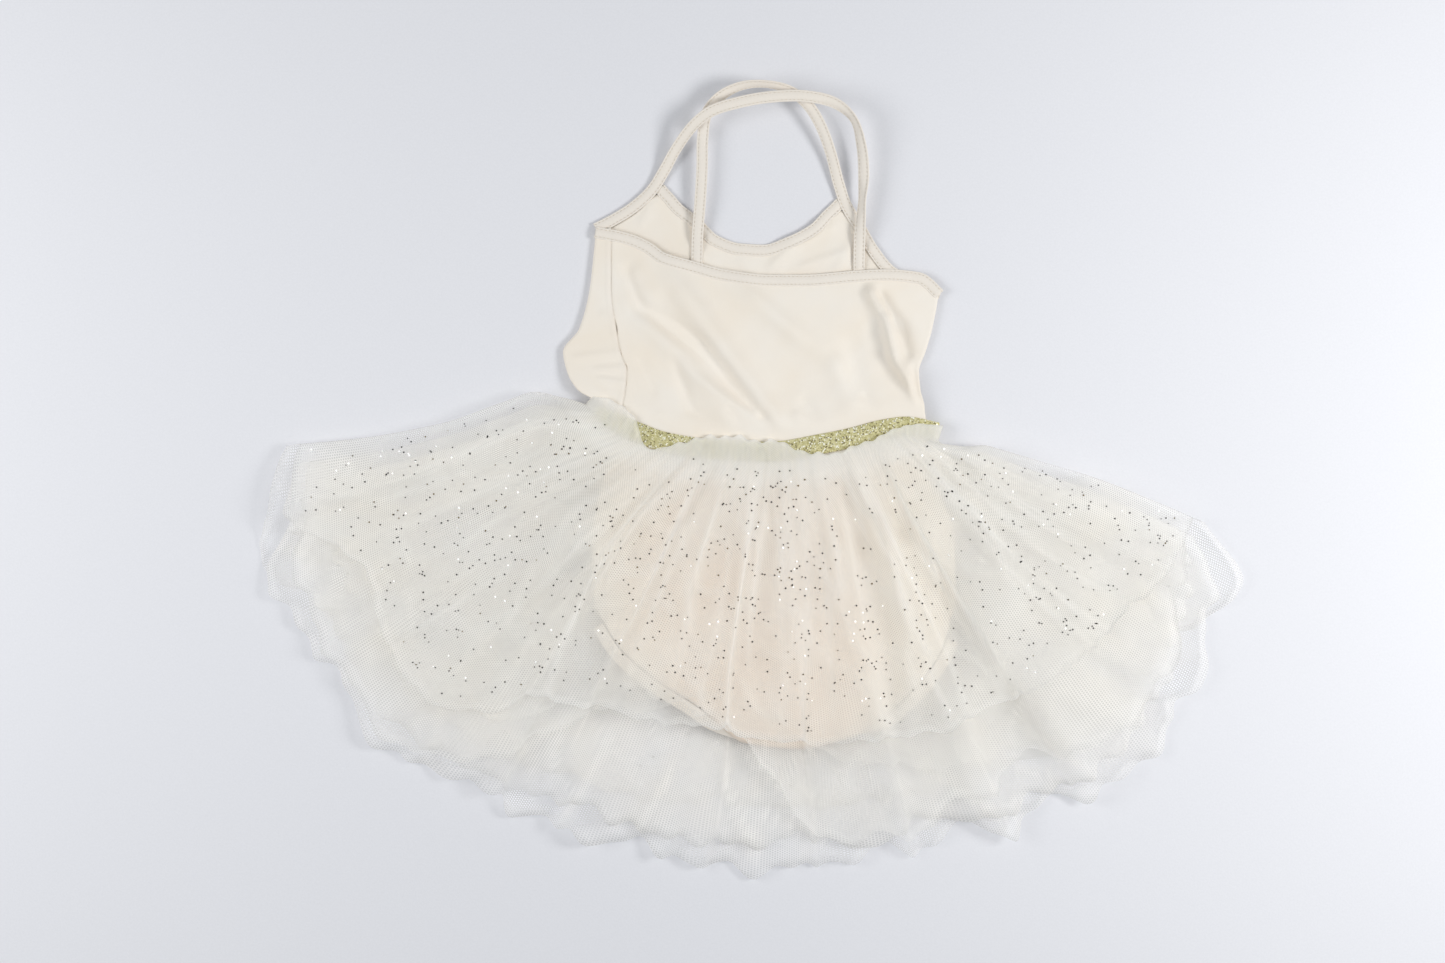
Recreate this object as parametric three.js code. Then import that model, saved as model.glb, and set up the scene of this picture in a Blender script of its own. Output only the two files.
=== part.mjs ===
// A child's dance costume: a strappy leotard in ivory jersey with a gathered tutu of three net layers,
// laid out flat on its front, so that the low back neckline and the crossed straps face up.
//
// Units are millimetres. X runs to the right as the costume is looked down on, Y towards its straps, Z up.
// The tables measure from the surface that the costume lies on, below the middle of the waist. The whole
// costume is then moved down the surface, so that its origin is under the middle of the bodice.
//
// Everything is cloth, so every piece is a wall or a ribbon of real thickness. A net of the skirt is
// placed by two numbers: its share across the fan, from 0 at the left side fold to 1 at the right one, and
// its distance out from the waist seam. Each net has an over half, the back of the skirt, which faces up,
// and an under half, which lies on the surface. The leotard is placed by rows across the body.

import * as THREE from "three";

// Thickness of each cloth, with the air that it holds when it lies loose
const JERSEY = 1.2;
const NET = 1;
const BINDING = 1.8;
const ELASTIC = 1.2;

// Widths of the narrow pieces, and the gap that a seam leaves between two pieces
const BINDING_WIDTH = 9;
const STRAP_WIDTH = 9.5;
const WAISTBAND_WIDTH = 15;
const SEAM_GAP = 0.35;

// How far above the waist the middle of the bodice lies
const BODICE_MIDDLE = 88;

// The ends of the waistband, and the side folds of the skirt just past them
const BAND_LEFT = -127;
const BAND_RIGHT = 127;
const SKIRT_LEFT = -133;
const SKIRT_RIGHT = 133;

// The waistband's upper edge, which sags between the side folds
const WAISTLINE = [
  { x: -136, y: 28 },
  { x: -126, y: 24.5 },
  { x: -97, y: 13 },
  { x: -78, y: 6 },
  { x: -52, y: 1.5 },
  { x: 0, y: -1.5 },
  { x: 40, y: 4.5 },
  { x: 62, y: 9 },
  { x: 85, y: 15 },
  { x: 104, y: 17.5 },
  { x: 127, y: 13.5 },
  { x: 136, y: 11 },
];

// The fan that the skirt spreads into: a fold's share across it, the way that it runs, in degrees, how much
// of the waistband the top net's puffs hide, and how far out the leotard reaches between the halves
const FAN = [
  { share: 0, heading: 184, cover: 13, reach: 20 },
  { share: 0.03, heading: 191, cover: 14, reach: 24 },
  { share: 0.1, heading: 203, cover: 15, reach: 48 },
  { share: 0.14, heading: 210, cover: 14, reach: 70 },
  { share: 0.17, heading: 215, cover: 1, reach: 88 },
  { share: 0.2, heading: 220, cover: 7, reach: 104 },
  { share: 0.23, heading: 225, cover: 15, reach: 120 },
  { share: 0.3, heading: 235, cover: 16, reach: 168 },
  { share: 0.35, heading: 243, cover: 15, reach: 205 },
  { share: 0.42, heading: 253, cover: 15, reach: 228 },
  { share: 0.5, heading: 264, cover: 15, reach: 246 },
  { share: 0.55, heading: 271, cover: 10, reach: 250 },
  { share: 0.62, heading: 280, cover: 2, reach: 246 },
  { share: 0.7, heading: 291, cover: 1, reach: 215 },
  { share: 0.8, heading: 306, cover: 4, reach: 140 },
  { share: 0.9, heading: 322, cover: 8, reach: 72 },
  { share: 0.97, heading: 336, cover: 12, reach: 30 },
  { share: 1, heading: 343.5, cover: 12, reach: 20 },
];

// How far the two side folds puff up past a straight line, by the distance out from the waist
const SIDE_LIFT = [
  { out: 0, left: 0, right: 0 },
  { out: 20, left: 20, right: 4 },
  { out: 40, left: 27, right: 10 },
  { out: 62, left: 21, right: 10 },
  { out: 110, left: 8, right: 10 },
  { out: 175, left: 1, right: 5 },
  { out: 220, left: 0, right: 0 },
  { out: 340, left: 0, right: 0 },
];
const SIDE_LIFT_REACH = 0.12;

// How far out each net's hem lies, by its share across the fan
const OVER_HEMS = [
  { share: 0, glitter: 216, outer: 206, inner: 196 },
  { share: 0.03, glitter: 234, outer: 222, inner: 208 },
  { share: 0.06, glitter: 246, outer: 240, inner: 220 },
  { share: 0.09, glitter: 228, outer: 258, inner: 234 },
  { share: 0.12, glitter: 222, outer: 270, inner: 240 },
  { share: 0.16, glitter: 238, outer: 280, inner: 250 },
  { share: 0.2, glitter: 254, outer: 290, inner: 260 },
  { share: 0.24, glitter: 259, outer: 298, inner: 256 },
  { share: 0.27, glitter: 246, outer: 290, inner: 248 },
  { share: 0.3, glitter: 216, outer: 270, inner: 236 },
  { share: 0.34, glitter: 209, outer: 226, inner: 206 },
  { share: 0.4, glitter: 203, outer: 196, inner: 184 },
  { share: 0.45, glitter: 200, outer: 192, inner: 180 },
  { share: 0.51, glitter: 208, outer: 216, inner: 186 },
  { share: 0.56, glitter: 212, outer: 282, inner: 206 },
  { share: 0.61, glitter: 217, outer: 296, inner: 232 },
  { share: 0.66, glitter: 220, outer: 290, inner: 246 },
  { share: 0.71, glitter: 223, outer: 276, inner: 254 },
  { share: 0.76, glitter: 221, outer: 266, inner: 258 },
  { share: 0.81, glitter: 219, outer: 284, inner: 256 },
  { share: 0.86, glitter: 215, outer: 278, inner: 244 },
  { share: 0.9, glitter: 212, outer: 256, inner: 230 },
  { share: 0.94, glitter: 209, outer: 228, inner: 212 },
  { share: 0.965, glitter: 206, outer: 212, inner: 198 },
  { share: 1, glitter: 201, outer: 192, inner: 182 },
];
const UNDER_HEMS = [
  { share: 0, glitter: 226, outer: 210, inner: 198 },
  { share: 0.03, glitter: 255, outer: 236, inner: 220 },
  { share: 0.06, glitter: 277, outer: 258, inner: 240 },
  { share: 0.09, glitter: 285, outer: 280, inner: 260 },
  { share: 0.12, glitter: 270, outer: 290, inner: 268 },
  { share: 0.16, glitter: 270, outer: 286, inner: 272 },
  { share: 0.2, glitter: 270, outer: 300, inner: 284 },
  { share: 0.24, glitter: 268, outer: 306, inner: 290 },
  { share: 0.27, glitter: 268, outer: 304, inner: 286 },
  { share: 0.3, glitter: 268, outer: 299, inner: 284 },
  { share: 0.34, glitter: 266, outer: 306, inner: 292 },
  { share: 0.4, glitter: 264, outer: 302, inner: 282 },
  { share: 0.45, glitter: 262, outer: 303, inner: 288 },
  { share: 0.51, glitter: 262, outer: 309, inner: 288 },
  { share: 0.56, glitter: 264, outer: 311, inner: 278 },
  { share: 0.61, glitter: 266, outer: 309, inner: 294 },
  { share: 0.66, glitter: 268, outer: 305, inner: 286 },
  { share: 0.71, glitter: 270, outer: 312, inner: 296 },
  { share: 0.76, glitter: 272, outer: 308, inner: 298 },
  { share: 0.81, glitter: 270, outer: 318, inner: 300 },
  { share: 0.86, glitter: 264, outer: 304, inner: 284 },
  { share: 0.9, glitter: 254, outer: 282, inner: 258 },
  { share: 0.94, glitter: 258, outer: 258, inner: 236 },
  { share: 0.965, glitter: 263, outer: 234, inner: 214 },
  { share: 1, glitter: 210, outer: 198, inner: 188 },
];
const HEMS = { over: OVER_HEMS, under: UNDER_HEMS };

// The height of the middle of each net, by its distance out from the waist
const OVER_LEVELS = [
  { out: -20, glitter: 12, outer: 11.9, inner: 10 },
  { out: -4, glitter: 14, outer: 11.9, inner: 10 },
  { out: 0, glitter: 15, outer: 11.9, inner: 10 },
  { out: 14, glitter: 20, outer: 17, inner: 14.2 },
  { out: 40, glitter: 23, outer: 18.8, inner: 15.4 },
  { out: 80, glitter: 24, outer: 19.4, inner: 15.6 },
  { out: 130, glitter: 23.2, outer: 19, inner: 15.4 },
  { out: 200, glitter: 21.4, outer: 18.2, inner: 15 },
  { out: 260, glitter: 20.4, outer: 17.6, inner: 14.6 },
  { out: 340, glitter: 19.5, outer: 17, inner: 14.4 },
];
const UNDER_LEVELS = [
  { out: -20, glitter: 3, outer: 3.3, inner: 5 },
  { out: -4, glitter: 2.6, outer: 3.3, inner: 5 },
  { out: 0, glitter: 1.8, outer: 3.3, inner: 5 },
  { out: 14, glitter: 0.9, outer: 3, inner: 5 },
  { out: 40, glitter: 0.5, outer: 2.9, inner: 5.4 },
  { out: 80, glitter: 0.5, outer: 3, inner: 5.6 },
  { out: 130, glitter: 0.5, outer: 3, inner: 5.8 },
  { out: 200, glitter: 0.5, outer: 3.1, inner: 5.9 },
  { out: 260, glitter: 0.5, outer: 3.2, inner: 6 },
  { out: 340, glitter: 0.5, outer: 3.2, inner: 6 },
];
const LEVELS = { over: OVER_LEVELS, under: UNDER_LEVELS };

// Past the leotard the over halves sink by this much, so that the two halves of the skirt lie on each
// other. They start to sink a margin past it, and take a while to settle.
const OVER_DROP = 5;
const LEOTARD_MARGIN = 6;
const SETTLING = 44;

// The gathers that all the nets share: how many there are across each half, how much they differ in size,
// how far they wander sideways by a distance out, and the height of their waves by the distance out
const GATHERS = 12;
const GATHER_SIZE = { mean: 0.62, change: 0.38, waves: 2.6, phase: 0.35 };
const GATHER_WANDER = { share: 0.012, out: 300, waves: 1.7, phase: 0.2 };
const RIPPLE = [
  { out: -20, height: 0 },
  { out: 0, height: 0.2 },
  { out: 14, height: 2.2 },
  { out: 40, height: 5 },
  { out: 80, height: 6.8 },
  { out: 130, height: 7.6 },
  { out: 200, height: 8 },
  { out: 260, height: 10 },
  { out: 340, height: 12 },
];

// The largest folds of the top net: where each starts and ends, as share and distance out, its half width
// as a share, and how far it stands up or sinks
const TOP_FOLDS = [
  { from: [0.172, -2], to: [0.155, 125], half: 0.016, rise: -4.5 },
  { from: [0.2, 20], to: [0.235, 205], half: 0.018, rise: 5 },
  { from: [0.205, 60], to: [0.262, 172], half: 0.014, rise: -4 },
  { from: [0.28, 25], to: [0.285, 120], half: 0.012, rise: 4 },
  { from: [0.292, 90], to: [0.292, 225], half: 0.012, rise: -4.5 },
  { from: [0.33, 60], to: [0.325, 225], half: 0.022, rise: 5 },
  { from: [0.64, 12], to: [0.712, 92], half: 0.02, rise: -4.5 },
  { from: [0.725, 50], to: [0.655, 225], half: 0.014, rise: 5 },
  { from: [0.925, 10], to: [0.876, 130], half: 0.018, rise: -4 },
  { from: [0.775, 110], to: [0.7, 200], half: 0.022, rise: -3 },
];

// The share across the fan that a millimetre takes up half way out
const SHARE_PER_MM = 0.0025;

// The distances out at which the top folds begin and reach their full height
const TOP_FOLD_START = -5;
const TOP_FOLD_FULL = 60;

// The parts of a fold's length over which it fades in and out
const FOLD_FADES = { start: -0.25, full: 0.15, waning: 0.8, end: 1.25 };

// The half width of a side fold, as a share. An inner net's fold lies inside it by the net's inset, and
// lower by this many millimetres for each whole share of inset. The inset fades out within a few columns
// of the fold.
const FOLD_SINK = 400;
const INSET_REACH = 0.06;
const SIDE_FOLD = [
  { out: -20, half: 0.022 },
  { out: 10, half: 0.026 },
  { out: 80, half: 0.045 },
  { out: 340, half: 0.06 },
];

// The three nets: their column in the tables, how far inside the outermost one they fold, where they
// start, how much their over halves swell with the gathers, and how far these follow the top folds
const GLITTER_NET = { net: "glitter", inset: 0, start: "cover", swell: 1.35, follow: 1 };
const OUTER_NET = { net: "outer", inset: 0.01, start: "seam", swell: 1.15, follow: 0.6 };
const INNER_NET = { net: "inner", inset: 0.02, start: "seam", swell: 1, follow: 0.3 };

// The skirt's grid: columns across each half, how much closer together they are at the side folds, and the
// distances out of its rows. They are the same in every net, so that nets that lie on each other can't
// cross. The last row is the hem, and the rows before it keep apart from it.
const SKIRT_COLUMNS = 48;
const COLUMN_CROWDING = 0.6;
const SKIRT_SEAM_GAP = 0.6;
const SKIRT_ROWS = [14, 40, 80, 125, 170, 215, 258];
const HEM_ROW_STEP = 6;

// How far the lowest net's seam allowance reaches up under the waistband, and the share next to a side
// fold in which it grows to meet the puffs
const UNDER_COVER = 4;
const COVER_FOLD = 0.03;

// The leotard's outline by height: its left edge, the left side seam, which lies on top, and its right edge
const BODY = [
  { y: -240, left: -131, seam: -123, right: 141 },
  { y: -125, left: -131, seam: -123, right: 141 },
  { y: -76, left: -133, seam: -125, right: 140 },
  { y: -36, left: -126, seam: -118, right: 128 },
  { y: -12, left: -119, seam: -111, right: 118 },
  { y: 4, left: -120, seam: -110, right: 119 },
  { y: 25, left: -124, seam: -110, right: 118 },
  { y: 38, left: -144, seam: -108, right: 115 },
  { y: 52, left: -152, seam: -107, right: 114 },
  { y: 67, left: -155, seam: -112, right: 119 },
  { y: 84, left: -143, seam: -115, right: 124 },
  { y: 114, left: -135, seam: -119, right: 129 },
  { y: 150, left: -131, seam: -119, right: 130 },
  { y: 172, left: -129, seam: -119, right: 130 },
];

// The cut edges of the leotard, by their place across it: the front's neck and armholes, the back's
// straight top, and the leg openings with the crotch between them
const FRONT_TOP = [
  { x: -130, y: 156 },
  { x: -116, y: 163 },
  { x: -102, y: 172 },
  { x: -84, y: 186 },
  { x: -70, y: 173 },
  { x: -57, y: 163 },
  { x: -42, y: 149 },
  { x: -22, y: 142 },
  { x: -3, y: 141 },
  { x: 17, y: 147 },
  { x: 36, y: 157 },
  { x: 56, y: 174 },
  { x: 66, y: 160 },
  { x: 76, y: 143 },
  { x: 90, y: 126 },
  { x: 130, y: 108 },
];
const BACK_TOP = [
  { x: -130, y: 154 },
  { x: -109, y: 150 },
  { x: -94, y: 144 },
  { x: -81, y: 135 },
  { x: -57, y: 128 },
  { x: -34, y: 122 },
  { x: 0, y: 118 },
  { x: 28, y: 118 },
  { x: 67, y: 121 },
  { x: 90, y: 122 },
  { x: 113, y: 120 },
  { x: 130, y: 106 },
];
const LEGS = [
  { x: -131, y: -125 },
  { x: -112, y: -157 },
  { x: -86, y: -180 },
  { x: -52, y: -202 },
  { x: -17, y: -229 },
  { x: 22, y: -233 },
  { x: 62, y: -225 },
  { x: 100, y: -198 },
  { x: 130, y: -160 },
  { x: 141, y: -122 },
];
const CROTCH_LEFT = -17;
const CROTCH_RIGHT = 62;

// The height of the middle of the two panels, by the height above the waistline
const PANEL_LEVELS = [
  { above: -260, front: 8.7, back: 11.5 },
  { above: -80, front: 8.6, back: 11.8 },
  { above: -40, front: 8.2, back: 11.2 },
  { above: -15, front: 6.9, back: 8.7 },
  { above: 3, front: 6.7, back: 8.5 },
  { above: 9, front: 5.8, back: 8.9 },
  { above: 22, front: 3, back: 7 },
  { above: 42, front: 0.6, back: 4.8 },
  { above: 90, front: 0.6, back: 4.2 },
  { above: 130, front: 0.6, back: 3.6 },
  { above: 200, front: 0.6, back: 3 },
];

// The largest folds of the back panel: the line that each follows, its half width, and how far it stands up
const BACK_FOLDS = [
  { from: [-104, 128], to: [-88, 104], half: 9, rise: 1.6 },
  { from: [-70, 118], to: [8, 8], half: 10, rise: 3.6 },
  { from: [-100, 100], to: [-22, 10], half: 9, rise: 2.4 },
  { from: [-18, 108], to: [48, 62], half: 10, rise: 1.6 },
  { from: [78, 112], to: [92, 78], half: 7, rise: 2 },
  { from: [92, 78], to: [118, 26], half: 8, rise: 2.6 },
  { from: [50, 60], to: [66, 24], half: 9, rise: 1.8 },
];
const BACK_COLUMNS = 22;
const FRONT_COLUMNS = 20;
const WRAP_COLUMNS = 5;
const BACK_TURNS = [45, 90, 135];
const FRONT_TURNS = [0, 60, 120];

// The back's folds stay this far from its side edges, and fade in between these heights above the waistline
const FOLD_MARGIN = 8;
const FOLD_FOOT = 4;
const FOLD_FULL = 20;

// The ends of the neck binding across the front
const NECK_LEFT = -80;
const NECK_RIGHT = 52;

// The places at which the leotard's thickness at its side folds is measured
const TURN_LEFT = -124;
const TURN_RIGHT = 124;

// The elastic ring and the rings round the leg edges: the heights of their two sides, and their steps
const WAISTBAND_LOW = 5.1;
const WAISTBAND_HIGH = 10.1;
const WAISTBAND_STEPS = 26;
const LEG_LOW = 8.5;
const LEG_HIGH = 11.6;
const LEG_STEPS = 12;
const LEG_THICKNESS = 1.2;
const LEG_TURN = 1.6;
const LEG_GAP = 0.95;
const LEG_LEFT = -122;
const LEG_RIGHT = 132;
const CROTCH_CLEARANCE = 4;

// How far the two edge bindings lie above the middle of their panels
const NECK_BINDING_LIFT = 0.3;
const BACK_BINDING_LIFT = 0.2;

// The panels' rows: heights above the waistline near the waist, and shares of what is left above and below.
// The shares above start from this height above the waistline.
const ROWS_FOOT = 30;
const PLACING_STEPS = 6;
const ROWS_ABOVE = [1, 0.84, 0.68, 0.54, 0.4, 0.26, 0.12];
const ROWS_AT_WAIST = [22, 9, 2, -15, -40];
const ROWS_BELOW = [0.25, 0.5, 0.75, 1];

// The line of each strap, from the side seam up the front's armhole to the shoulder, and on as a free
// strap to the back's top edge. Roll turns the ribbon on its edge, in degrees.
const LEFT_STRAP = [
  { x: -132, y: 162, z: 1.6, roll: 0 },
  { x: -118, y: 169, z: 1, roll: 0 },
  { x: -103, y: 178.5, z: 1, roll: 0 },
  { x: -89, y: 191, z: 1.2, roll: 0 },
  { x: -80, y: 204, z: 2.5, roll: 8 },
  { x: -69, y: 221, z: 8, roll: 24 },
  { x: -56, y: 237, z: 15.5, roll: 24 },
  { x: -43, y: 246.5, z: 19, roll: 18 },
  { x: -22, y: 253, z: 20.5, roll: 10 },
  { x: 2, y: 257, z: 21, roll: 8 },
  { x: 28, y: 257.5, z: 21, roll: 10 },
  { x: 50, y: 252.5, z: 19.5, roll: 30 },
  { x: 64, y: 241, z: 17, roll: 50 },
  { x: 70, y: 222, z: 14, roll: 32 },
  { x: 72, y: 201, z: 11.5, roll: 20 },
  { x: 71, y: 181, z: 9.5, roll: 40 },
  { x: 69.5, y: 158, z: 7.5, roll: 20 },
  { x: 69, y: 140, z: 5.4, roll: 0 },
  { x: 69, y: 131.5, z: 4.2, roll: 0 },
];
const RIGHT_STRAP = [
  { x: 132, y: 113, z: 1.2, roll: 0 },
  { x: 112, y: 122, z: 1, roll: 0 },
  { x: 95, y: 130.5, z: 1, roll: 0 },
  { x: 82, y: 146, z: 1, roll: 0 },
  { x: 72, y: 164, z: 1, roll: 0 },
  { x: 62, y: 181, z: 1.4, roll: 0 },
  { x: 55, y: 196, z: 3, roll: -8 },
  { x: 47, y: 218, z: 7.5, roll: -20 },
  { x: 39, y: 238, z: 11.5, roll: -20 },
  { x: 30, y: 252, z: 13.5, roll: -22 },
  { x: 16, y: 263, z: 15, roll: -48 },
  { x: -2, y: 267.5, z: 16.5, roll: -58 },
  { x: -21, y: 266, z: 16, roll: -52 },
  { x: -37, y: 258, z: 13.5, roll: -30 },
  { x: -46.5, y: 246, z: 12, roll: -18 },
  { x: -49.5, y: 228, z: 10, roll: -10 },
  { x: -50, y: 205, z: 9.5, roll: -10 },
  { x: -51.5, y: 180, z: 8, roll: 0 },
  { x: -53.5, y: 155, z: 5.6, roll: 0 },
  { x: -53.5, y: 140.5, z: 4.2, roll: 0 },
];
const STRAP_STEPS = 46;

const IVORY_JERSEY = { color: 0xefe6d8, roughness: 0.75, metalness: 0 };
const IVORY_BINDING = { color: 0xebe2d2, roughness: 0.6, metalness: 0 };
const IVORY_NET = { color: 0xf1eee6, roughness: 0.85, metalness: 0 };
const GOLD_ELASTIC = { color: 0xd9cf92, roughness: 0.35, metalness: 0.6 };

// Reads one column of a table at a value between its rows, along a smooth curve that never overshoots a
// row.
function read(rows, key, column, at) {
  const last = rows.length - 1;
  const value = Math.min(Math.max(at, rows[0][key]), rows[last][key]);
  let i = 0;
  while (i < last - 1 && rows[i + 1][key] < value) i += 1;
  const slope = (j) => (rows[j + 1][column] - rows[j][column]) / (rows[j + 1][key] - rows[j][key]);
  const tangent = (j) => {
    if (j === 0) return slope(0);
    if (j === last) return slope(last - 1);
    const [before, after] = [slope(j - 1), slope(j)];
    return before * after <= 0 ? 0 : (2 * before * after) / (before + after);
  };
  const step = rows[i + 1][key] - rows[i][key];
  const t = (value - rows[i][key]) / step;
  return (
    rows[i][column] * (1 + 2 * t) * (1 - t) ** 2 +
    rows[i + 1][column] * t * t * (3 - 2 * t) +
    step * (tangent(i) * t * (1 - t) ** 2 - tangent(i + 1) * t * t * (1 - t))
  );
}

function smoothstep(low, high, value) {
  const t = Math.min(Math.max((value - low) / (high - low), 0), 1);
  return t * t * (3 - 2 * t);
}

const waistline = (x) => read(WAISTLINE, "x", "y", x);

// The way up across the waistband at a place along it
function bandUp(x) {
  const slope = (waistline(x + 2) - waistline(x - 2)) / 4;
  return new THREE.Vector2(-slope, 1).normalize();
}

// A plan point at a place along the waistband, so far below its upper edge
const bandPoint = (x, down) => new THREE.Vector2(x, waistline(x)).addScaledVector(bandUp(x), -down);

// The height that folds add at a place (a, b): each is a soft ridge or trough along its line, fading at
// both ends. A unit of a is worth this many of b's units.
function foldRise(folds, a, b, unitA) {
  let rise = 0;
  for (const { from, to, half, rise: height } of folds) {
    const [runA, runB] = [(to[0] - from[0]) / unitA, to[1] - from[1]];
    const [offA, offB] = [(a - from[0]) / unitA, b - from[1]];
    const along = (offA * runA + offB * runB) / (runA * runA + runB * runB);
    const aside = Math.abs(offA * runB - offB * runA) / Math.hypot(runA, runB) / (half / unitA);
    const starts = smoothstep(FOLD_FADES.start, FOLD_FADES.full, along);
    const ends = smoothstep(FOLD_FADES.waning, FOLD_FADES.end, along);
    rise += height * starts * (1 - ends) * Math.exp(-(aside ** 2));
  }
  return rise;
}

// The plan point of the fan at a share across it and a distance out from the waist seam. Above the seam,
// where the distance is below zero, the cloth runs straight up over the waistband.
function fanPoint(share, out, inset) {
  const along = SKIRT_LEFT + share * (SKIRT_RIGHT - SKIRT_LEFT);
  const seam = bandPoint(along, WAISTBAND_WIDTH + SKIRT_SEAM_GAP + Math.min(out, 0));
  if (out < 0) return [seam.x, seam.y];
  const heading = THREE.MathUtils.degToRad(read(FAN, "share", "heading", share));
  const nearLeft = Math.max(0, 1 - share / SIDE_LIFT_REACH) ** 2;
  const nearRight = Math.max(0, 1 - (1 - share) / SIDE_LIFT_REACH) ** 2;
  const liftLeft = nearLeft * read(SIDE_LIFT, "out", "left", out);
  const liftRight = nearRight * read(SIDE_LIFT, "out", "right", out);
  const sunk = inset * FOLD_SINK * (nearLeft + nearRight);
  const y = seam.y + Math.sin(heading) * out + liftLeft + liftRight - sunk;
  return [seam.x + Math.cos(heading) * out, y];
}

// The waves that the gathers make, from 0 in a valley to 1 on a ridge, wandering a little on their way out.
function gatherWave(share, out) {
  const turns = ({ waves, phase }) => Math.sin(2 * Math.PI * (waves * share + phase));
  const wander = GATHER_WANDER.share * turns(GATHER_WANDER) * (out / GATHER_WANDER.out);
  const size = GATHER_SIZE.mean + GATHER_SIZE.change * turns(GATHER_SIZE);
  return size * (0.5 - 0.5 * Math.cos(2 * Math.PI * GATHERS * (share + wander)));
}

// The height of a net. The under halves are pressed flat below the leotard.
function netHeight(layer, half, share, out) {
  const level = read(LEVELS[half], "out", layer.net, out);
  const ripple = read(RIPPLE, "out", "height", out) * gatherWave(share, out);
  const reach = read(FAN, "share", "reach", share) + LEOTARD_MARGIN;
  const free = smoothstep(reach, reach + SETTLING, out);
  if (half === "under") return level + ripple * free;
  const fold = foldRise(TOP_FOLDS, share, out, SHARE_PER_MM) * smoothstep(TOP_FOLD_START, TOP_FOLD_FULL, out);
  return level + ripple * layer.swell - OVER_DROP * free + fold * layer.follow;
}

// The shares of the columns across half the skirt, closer together at the side folds.
function columnShare(column, inset) {
  const t = column / SKIRT_COLUMNS;
  const share = t - (COLUMN_CROWDING / (2 * Math.PI)) * Math.sin(2 * Math.PI * t);
  const pull = (distance) => inset * Math.max(0, 1 - distance / INSET_REACH) ** 2;
  return share + pull(share) - pull(1 - share);
}

// How far out a row of a layer lies: its first row is the sewn edge, and its last row is the hem.
function rowOut(layer, half, share, hem, row) {
  if (row === 0) {
    if (layer.start === "seam") return 0;
    const fold = Math.min(1, Math.min(share, 1 - share) / COVER_FOLD);
    const cover = read(FAN, "share", "cover", share);
    return half === "over" ? -cover : -UNDER_COVER - (cover - UNDER_COVER) * (1 - fold);
  }
  if (row > SKIRT_ROWS.length) return hem;
  return Math.min(SKIRT_ROWS[row - 1], hem - (SKIRT_ROWS.length + 1 - row) * HEM_ROW_STEP);
}

// One ring of a net runs across the over half and back across the under half. At the side folds the two
// halves turn into each other along an arc.
function skirtPoint(layer, half, column, row) {
  const share = columnShare(column, layer.inset);
  const hem = read(HEMS[half], "share", layer.net, share);
  const out = rowOut(layer, half, share, hem, row);
  const [x, y] = fanPoint(share, out, layer.inset);
  const [above, below] = ["over", "under"].map((side) => netHeight(OUTER_NET, side, share, out));
  const middle = (above + below) / 2;
  const fromFold = Math.min(share, 1 - share) - layer.inset;
  const unturned = 1 - Math.min(Math.max(fromFold / read(SIDE_FOLD, "out", "half", out), 0), 1);
  const turned = Math.sqrt(1 - unturned ** 2);
  return new THREE.Vector3(x, y, middle + (netHeight(layer, half, share, out) - middle) * turned);
}

function skirtGrid(layer) {
  const rows = [];
  for (let row = 0; row < SKIRT_ROWS.length + 2; row += 1) {
    const ring = [];
    for (let i = 0; i < SKIRT_COLUMNS; i += 1) ring.push(skirtPoint(layer, "over", i, row));
    for (let i = SKIRT_COLUMNS; i > 0; i -= 1) ring.push(skirtPoint(layer, "under", i, row));
    rows.push(ring);
  }
  return rows;
}

// Where a panel's row lies at a place across the leotard, from its top edge down to its leg or crotch edge.
function rowHeight(top, x, row) {
  const waist = waistline(x);
  const upper = waist + ROWS_FOOT;
  if (row < ROWS_ABOVE.length) return upper + (top - upper) * ROWS_ABOVE[row];
  const atWaist = row - ROWS_ABOVE.length;
  if (atWaist < ROWS_AT_WAIST.length) return waist + ROWS_AT_WAIST[atWaist];
  const lower = waist + ROWS_AT_WAIST[ROWS_AT_WAIST.length - 1];
  const below = atWaist - ROWS_AT_WAIST.length;
  return lower + (read(LEGS, "x", "y", x) - lower) * ROWS_BELOW[below];
}
const PANEL_ROWS = ROWS_ABOVE.length + ROWS_AT_WAIST.length + ROWS_BELOW.length;

const panelLevel = (side, x, y) => read(PANEL_LEVELS, "above", side, y - waistline(x));

// The radius of the leotard's side folds: the front and back panels turn into each other round them.
const turnRadius = (x, y) => (panelLevel("back", x, y) - panelLevel("front", x, y)) / 2;

// A panel's point: its place across, from 0 to 1, and its row. Where the row lies depends on the place and
// the leotard's width on the height, so the point settles in a few steps.
function panelPlace(top, across, row, leftEdge, rightEdge) {
  let x = leftEdge(0) + across * (rightEdge(0) - leftEdge(0));
  let y = 0;
  for (let step = 0; step < PLACING_STEPS; step += 1) {
    y = rowHeight(read(top, "x", "y", x), x, row);
    x = leftEdge(y) + across * (rightEdge(y) - leftEdge(y));
  }
  return [x, y];
}

const seamEdge = (y) => read(BODY, "y", "seam", y);
const leftTurn = (y) => read(BODY, "y", "left", y) + turnRadius(TURN_LEFT, y);
const rightTurn = (y) => read(BODY, "y", "right", y) - turnRadius(TURN_RIGHT, y);

// The height that the folds add to the back at a place, calm at its side edges and at the waist.
function backFold(x, y) {
  const [left, right] = [seamEdge(y), rightTurn(y)];
  const calm = smoothstep(left, left + FOLD_MARGIN, x) * (1 - smoothstep(right - FOLD_MARGIN, right, x));
  return foldRise(BACK_FOLDS, x, y, 1) * calm * smoothstep(FOLD_FOOT, FOLD_FULL, y - waistline(x));
}

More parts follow.
